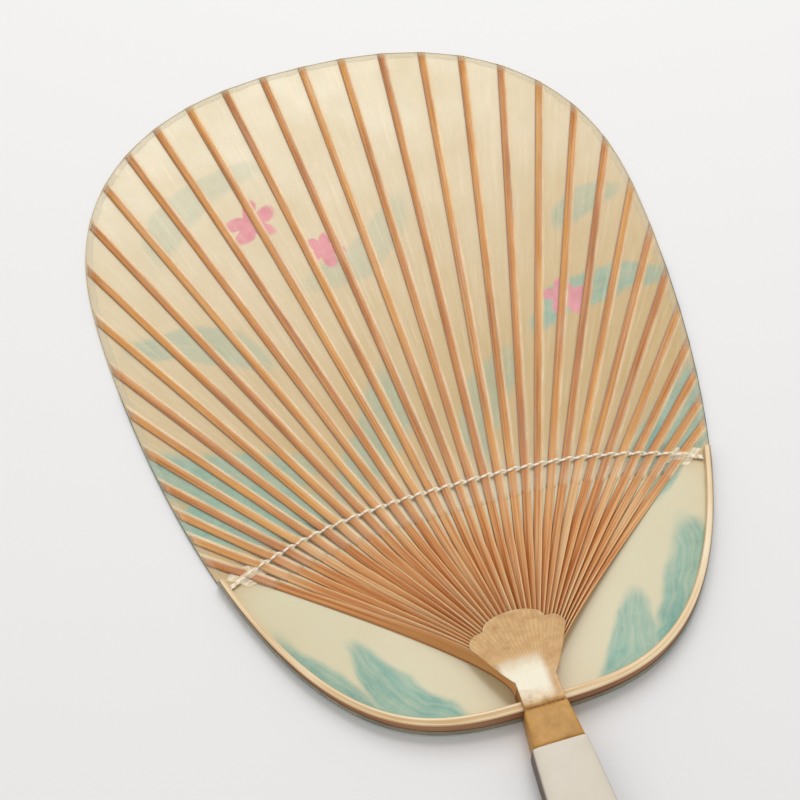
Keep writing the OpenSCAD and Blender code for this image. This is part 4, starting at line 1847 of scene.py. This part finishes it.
@dataclass
class NeckPatch:
    """The scalloped paper over the ribs' root, with a torn edge along its scallops."""

    plan: FanPlan
    finish: Any
    low_y: float = 0.05
    flare_y: float = 9.2
    side_y: float = 25.5
    shoulder_y: float = 30.0
    top_y: float = 34.9
    lobe_w: float = 10.4
    patch_w: float = 16.2
    thickness: float = 0.2
    clear: float = 0.12
    crown: float = 0.12
    relief: float = 0.1
    relief_felt: float = 0.45
    wrinkle: float = 0.05
    most_z: float = 10.28
    tuck: float = 0.14
    tuck_len: float = 1.2
    torn_w: float = 0.7
    columns: int = 67
    shoulder_shares: tuple[float, ...] = (0.2, 0.4, 0.6, 0.75, 0.87, 0.95)
    lobe_shares: tuple[float, ...] = (0, 0.3, 0.55, 0.75, 0.88, 0.96, 0.99)

    def build(self) -> Any:
        """Makes the patch.

        Returns:
            The finished object.
        """
        plan = self.plan
        shoulder, lobe = self.shoulder_y - self.side_y, self.top_y - self.shoulder_y
        heights = np.concatenate(
            [
                np.linspace(self.low_y, self.flare_y, 9),
                np.linspace(self.flare_y, self.side_y, 26)[1:],
                self.side_y + shoulder * np.array(self.shoulder_shares),
                self.shoulder_y + lobe * np.array(self.lobe_shares),
            ]
        )
        half = np.array([self._half(y) for y in heights])
        across = np.linspace(-1, 1, self.columns)
        x = half[:, None] * across[None, :]
        y = np.repeat(heights[:, None], len(across), axis=1)
        flat = np.stack([x, y], axis=-1)
        # It lies on the stock and then on the ribs, which it feels, and is a little crowned
        turns = x / np.maximum(self._pitch(y), 0.3)
        ribs = self.relief * np.cos(turns * 2 * math.pi) * np.clip((y - self.flare_y) / 8, 0, 1)
        z = np.where(y <= plan.split_y, plan.stock_top, plan.sheet_top + plan.rise(flat))
        crown = self.crown * (1 - (x / self.patch_w) ** 2)
        z = z + plan.glue_gap + crown + self.thickness + self.clear + ribs * self.relief_felt
        z = z + self.wrinkle * soft_noise(x / 9, y / 9, 41)
        # Its lower end dips under the band's edge
        tuck = self.tuck * np.clip(1 - (y - self.low_y) / self.tuck_len, 0, 1)
        z = np.minimum(z, self.most_z) - tuck
        inset = np.minimum((1 - np.abs(across)) * half[:, None], self.top_y - y)
        torn = np.clip(1 - inset / self.torn_w, 0, 1) * np.clip((y - self.side_y) / 3 + 1, 0, 1)
        uv = np.stack([np.where(y < self.flare_y, 0.5, turns), torn], axis=-1)
        place = plan.place(raised(flat, z))
        piece = grid_piece("scalloped_patch", place, uv, self.thickness, self.finish)
        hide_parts("neck_patch")
        return piece

    def _pitch(self, y: np.ndarray) -> np.ndarray:
        """Distance between two ribs.

        Args:
            y: Heights above the bow's lowest point.

        Returns:
            One distance for each height.
        """
        plan = self.plan
        start = plan.rib_t + plan.rib_gap
        end = plan.thread_span / (plan.rib_count - 1)
        share = np.clip((y - plan.split_y) / (plan.thread_y - plan.split_y), 0, 1)
        return start + (end - start) * share

    def _half(self, y: float) -> float:
        """Half width of the patch.

        Args:
            y: Height above the bow's lowest point.

        Returns:
            The half width in millimetres.
        """
        neck = self.plan.neck_half
        side = self.shoulder_y - self.side_y
        top = self.top_y - self.shoulder_y
        if y <= self.flare_y:
            return neck
        if y <= self.side_y:
            share = (y - self.flare_y) / (self.side_y - self.flare_y)
            return neck + (self.patch_w - neck) * share**0.83
        if y < self.shoulder_y:
            lobe = self.patch_w - side + math.sqrt(max(0.0, side**2 - (y - self.side_y) ** 2))
            return max(self.lobe_w, lobe)
        return self.lobe_w * math.sqrt(max(0.02, 1 - ((y - self.shoulder_y) / top) ** 2))


@dataclass
class Handle:
    """The white lacquered handle and the mustard band over its joint."""

    plan: FanPlan
    lacquer: Any
    band_paper: Any
    length: float = 96.0
    thickness: float = 10.6
    top_w: float = 18.2
    end_w: float = 23.0
    corner_r: float = 7.0
    ease: float = 3.3
    joint_gap: float = 0.1
    end_round: float = 2.4
    start_round: float = 0.8
    start_inset: float = 0.45
    stock_len: float = 13.0
    stock_w: float = 16.2
    stock_z: float = 0.4
    stock_t: float = 9.6
    band_t: float = 0.35
    band_len: float = 12.3
    sides: int = 56

    def build(self) -> list[Any]:
        """Makes the handle and the band.

        Returns:
            Both pieces.
        """
        return [self._grip(), self._band()]

    def _grip(self) -> Any:
        """Makes the handle, which flares from its joint to a rounded end.

        Returns:
            The finished object.
        """
        plan, length = self.plan, self.length
        tail = self.corner_r / length
        v = np.concatenate(
            [
                [0, 0.002, 0.006, 0.012],
                np.linspace(0.02, 1 - tail, 40),
                1 - tail * (1 - np.sin(np.linspace(0, math.pi / 2, 18)[1:])),
            ]
        )
        half = (self.top_w + (self.end_w - self.top_w) * (1 - (1 - v) ** self.ease)) / 2
        past = np.clip((v * length - (length - self.corner_r)) / self.corner_r, 0, 1)
        half = half - self.corner_r * (1 - np.sqrt(np.clip(1 - past**2, 0.0004, 1)))
        # Both ends are rounded over, the far one to 0.72 of the thickness
        soft = np.clip((1 - v) * length / self.end_round, 0, 1)
        start = np.clip(v * length / self.start_round + 0.35, 0, 1)
        thick = self.thickness / 2 * (0.72 + 0.28 * np.sqrt(1 - (1 - soft) ** 2))
        inset = self.start_inset * (1 - np.sqrt(1 - (1 - start) ** 2))
        y = -self.stock_len - self.joint_gap - v * length
        line = np.stack([0 * v, y], axis=1)
        handle = Swept(
            name="lacquered_handle",
            middle=plan.place(raised(line, self.thickness / 2)),
            across=-RIGHT[None, :] * (half - inset)[:, None] * MM,
            through=UP[None, :] * (thick - inset)[:, None] * MM,
            finish=self.lacquer,
            sides=self.sides,
            squareness=8.0,
            waver=0.1,
            waver_scale=25.0,
            seed=2.0,
        ).build()
        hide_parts("handle_grip")
        return handle

    def _band(self) -> Any:
        """Makes the band.

        Returns:
            The finished object.
        """
        plan = self.plan
        y = np.linspace(-self.stock_len + 0.02, -self.stock_len + self.band_len, 14)
        slope = (self.stock_w - 2 * plan.neck_half) / 2 / self.stock_len
        half = plan.neck_half - slope * y + self.band_t + plan.glue_gap
        high = self.stock_t / 2 + self.band_t + plan.glue_gap
        line = np.stack([0 * y, y], axis=1)
        band = Swept(
            name="paper_band",
            middle=plan.place(raised(line, self.stock_z + self.stock_t / 2)),
            across=RIGHT[None, :] * half[:, None] * MM,
            through=UP[None, :] * np.full(len(y), high)[:, None] * MM,
            finish=self.band_paper,
            sides=self.sides,
            squareness=14.0,
            waver=0.1,
            waver_scale=120.0,
            seed=5.0,
        ).build()
        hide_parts("neck_band")
        return band


@dataclass
class Stage:
    """The pale floor, the soft lights and the camera at the photograph's angle."""

    floor_colour: str = "#F1F0EF"
    floor_half: float = 3.0
    floor_z: float = -0.0002
    room_light: float = 0.53
    lens: float = 85.5
    sensor: float = 36.0
    place: tuple[float, float, float] = (-0.1116256, -0.2925357, 0.5625459)
    turn: tuple[float, float, float] = (31.6913, 0.0077, -17.3042)

    def build(self) -> None:
        """Builds the floor, the lights and the camera."""
        scene = bpy.context.scene
        scene.view_settings.view_transform = "Standard"
        self._floor()
        self._world()
        self._light("softbox", (0.25, 0.75, 1.1), (0.0, 0.02, 0.0), 0.9, 7.4)
        self._light("window", (0.22, 0.34, 1.1), (0.0, -0.08, 0.0), 0.24, 1.3)
        self._light("fill", (-0.9, -0.2, 1.0), (0.0, 0.0, 0.0), 1.2, 1.6)
        data = bpy.data.cameras.new("camera")
        data.lens, data.sensor_width, data.clip_start = self.lens, self.sensor, 0.01
        camera = add_object("camera", data)
        camera.location = self.place
        camera.rotation_euler = [math.radians(a) for a in self.turn]
        scene.camera = camera

    def _floor(self) -> None:
        """Builds the floor."""
        mesh = bpy.data.meshes.new("floor")
        r = self.floor_half
        mesh.from_pydata([(-r, -r, 0), (r, -r, 0), (r, r, 0), (-r, r, 0)], [], [(0, 1, 2, 3)])
        material, tree, shader = start_material("pale matt floor")
        connect(tree, shader, Base_Color=self.floor_colour, Roughness=0.9, Specular_IOR_Level=0.1)
        mesh.materials.append(material)
        floor = add_object("floor", mesh)
        floor.location.z = self.floor_z
        floor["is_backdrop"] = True

    def _world(self) -> None:
        """Builds the even light of the room."""
        world = bpy.data.worlds.new("room")
        world.use_nodes = True
        shade = world.node_tree.nodes["Background"]
        connect(world.node_tree, shade, Color="#FFFFFF", Strength=self.room_light)
        bpy.context.scene.world = world

    def _light(
        self, name: str, place: Sequence[float], aim: Sequence[float], size: float, power: float
    ) -> None:
        """Adds a soft square light.

        Args:
            name: The light's name.
            place: Where it hangs.
            aim: The point that it faces.
            size: Its side, in metres.
            power: Its power, in watts.
        """
        data = bpy.data.lights.new(name, "AREA")
        data.size, data.energy = size, power
        light = add_object(name, data)
        light.location = place
        light.rotation_euler = (Vector(aim) - Vector(place)).to_track_quat("-Z", "Y").to_euler()


# ---------------------------------------------------------------- putting it together


def lit_through(pieces: Iterable[Any]) -> list[Any]:
    """Lets the light through thin tissues, which scatter it on instead of casting a shadow.

    Args:
        pieces: The tissues.

    Returns:
        The same pieces.
    """
    held = list(pieces)
    for piece in held:
        piece.visible_shadow = False
    return held


def dress(node: Any, finish: Any) -> None:
    """Gives a CAD node's object a finish."""
    node.data.materials.clear()
    node.data.materials.append(finish)


def ride_all(pieces: Iterable[Any]) -> None:
    """Puts pieces on the fan's one body and reports them.

    Args:
        pieces: The pieces.
    """
    for piece in pieces:
        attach(piece, BODY)
        LOG.info("%s: %d faces", piece.name, len(piece.data.polygons))


def main() -> None:
    logging.basicConfig(level=logging.INFO, format="%(name)s %(message)s")
    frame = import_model()
    start = [list(corner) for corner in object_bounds()]
    plan = FanPlan()

    # Split bamboo: the slats differ a little in tone; the pale tone on their right edges is a painted
    # highlight and the dark one on their left painted shade
    slats = (
        ("a", ("#C0763C", "#DE9E64", "#E8BA84"), "#E6B988", "#AE6E3C", ("#A86014", "#D0862A", "#E0A044")),
        ("b", ("#B86E38", "#D6965A", "#E2B07C"), "#E0B080", "#A66434", ("#A25A16", "#C87C26", "#D8963E")),
        ("c", ("#C87F46", "#E2A872", "#EAC494"), "#EAC496", "#B27844", ("#AE681C", "#D68E32", "#E4A854")),
    )
    rib_finishes = [
        Bamboo(
            f"split bamboo {name}", *tones, far, edge=edge, shaded_edge=shaded_edge, glow=0.5, neck_painted_light="#E8AC70"
        ).build()
        for name, tones, edge, shaded_edge, far in slats
    ]
    # Cut across and along, the stock shows coarser and darker fibres
    stock = Bamboo(
        "cut bamboo", "#7A4A24", "#A8703A", "#C79560", grain=Grain.LENGTH, fibre=0.35
    ).build()
    # Scraped smooth, the bow is paler and shinier, with a brown line along its rough outer side
    bow_finish = Bamboo(
        "scraped bamboo", "#C79E6A", "#EACDA0", "#FBEACB", roughness=0.5, coat=0.15, edge="#985A30",
        edge_span=(0.6, 0.78), edge_least=0.8, fibre=0.35,
    ).build()
    painted = PaintedPaper().build()
    # Tissues: over the ribs it is clear and glossy, and where it is gathered it turns cream and dull; the
    # whiter streaks along its creases, most on the rim, are painted glints
    clear = ClearPaper(folded=True, streaks=0.11).build()
    gathered = ClearPaper("gathered tissue", cover=0.46, spread=0.2, ior=2.0).build()
    rim_tissue = ClearPaper(
        "rim tissue", veil="#FFF6DC", cover=0.1, spread=0.08, ior=1.7, streaks=0.5
    ).build()
    # Papers: both turned up ones are the painted sheet's grey-green side, made darker with painted shade;
    # the rim's outer fold is painted dark with shade low on its sides, and painted pale as lit from there
    # up over the top
    turned = Paper("turned up paper", "#6A6450", "#948A6C", 7.0, 3.0, 0.1).build()
    wall = Paper(
        "rim's outer fold", "#4C5040", "#686A52", 7.0, 3.0, 0.1, specular=0.2,
        lit_zone="#E6D7B0", lit_zone_y=(70.0, 400.0), lit_zone_half=400.0,
    ).build()
    # Varnished over the ribs, it is mottled tan, with a pale torn rim, and low down near the neck a white
    # painted reflection of the light
    patch = Paper(
        "varnished tan paper", "#B4803C", "#DCB06A", 3.0, 2.2, 0.12, 0.5, 0.25, 0.15,
        lit_zone="#EFE4C8", shown="#96653A", torn="#EAD6B0",
    ).build()
    # Plain dyed paper, nearly matt
    band = Paper("mustard paper", "#AC782E", "#CC984A", 4.0, 2.5, 0.1, 0.6, 0.08).build()
    # Brushed lacquer on its flat faces: warm white with a dull gloss; round them a dark brown that is
    # painted shade on the flanks and below, drawn as bare wood, and bare wood on the end
    lacquer = Paper(
        "white lacquered wood", "#D9CFBD", "#E3D9C9", 14.0, 9.0, 0.05, 0.45, 0.12, 0.25,
        specular=0.2, flank="#523E2F", flank_end=start[0][1],
    ).build()

    ride_all(Ribs(plan, rib_finishes).build())
    ride_all(lit_through([ClearSheet(plan, clear).build()]))
    ride_all(TwinedThread(plan, Thread().build()).build())
    ride_all(Bow(plan, bow_finish, turned).build())
    ride_all(lit_through([RimStrip(plan, rim_tissue, wall).build()]))
    ride_all(lit_through(EarPatch(plan, gathered, side).build() for side in Side))
    ride_all([NeckPatch(plan, patch).build()])
    ride_all(Handle(plan, lacquer, band).build())
    dress(frame["nodes"]["neck_stock"], stock)
    dress(frame["nodes"]["front_sheet"], painted)
    Stage().build()


if __name__ == "__main__":
    main()
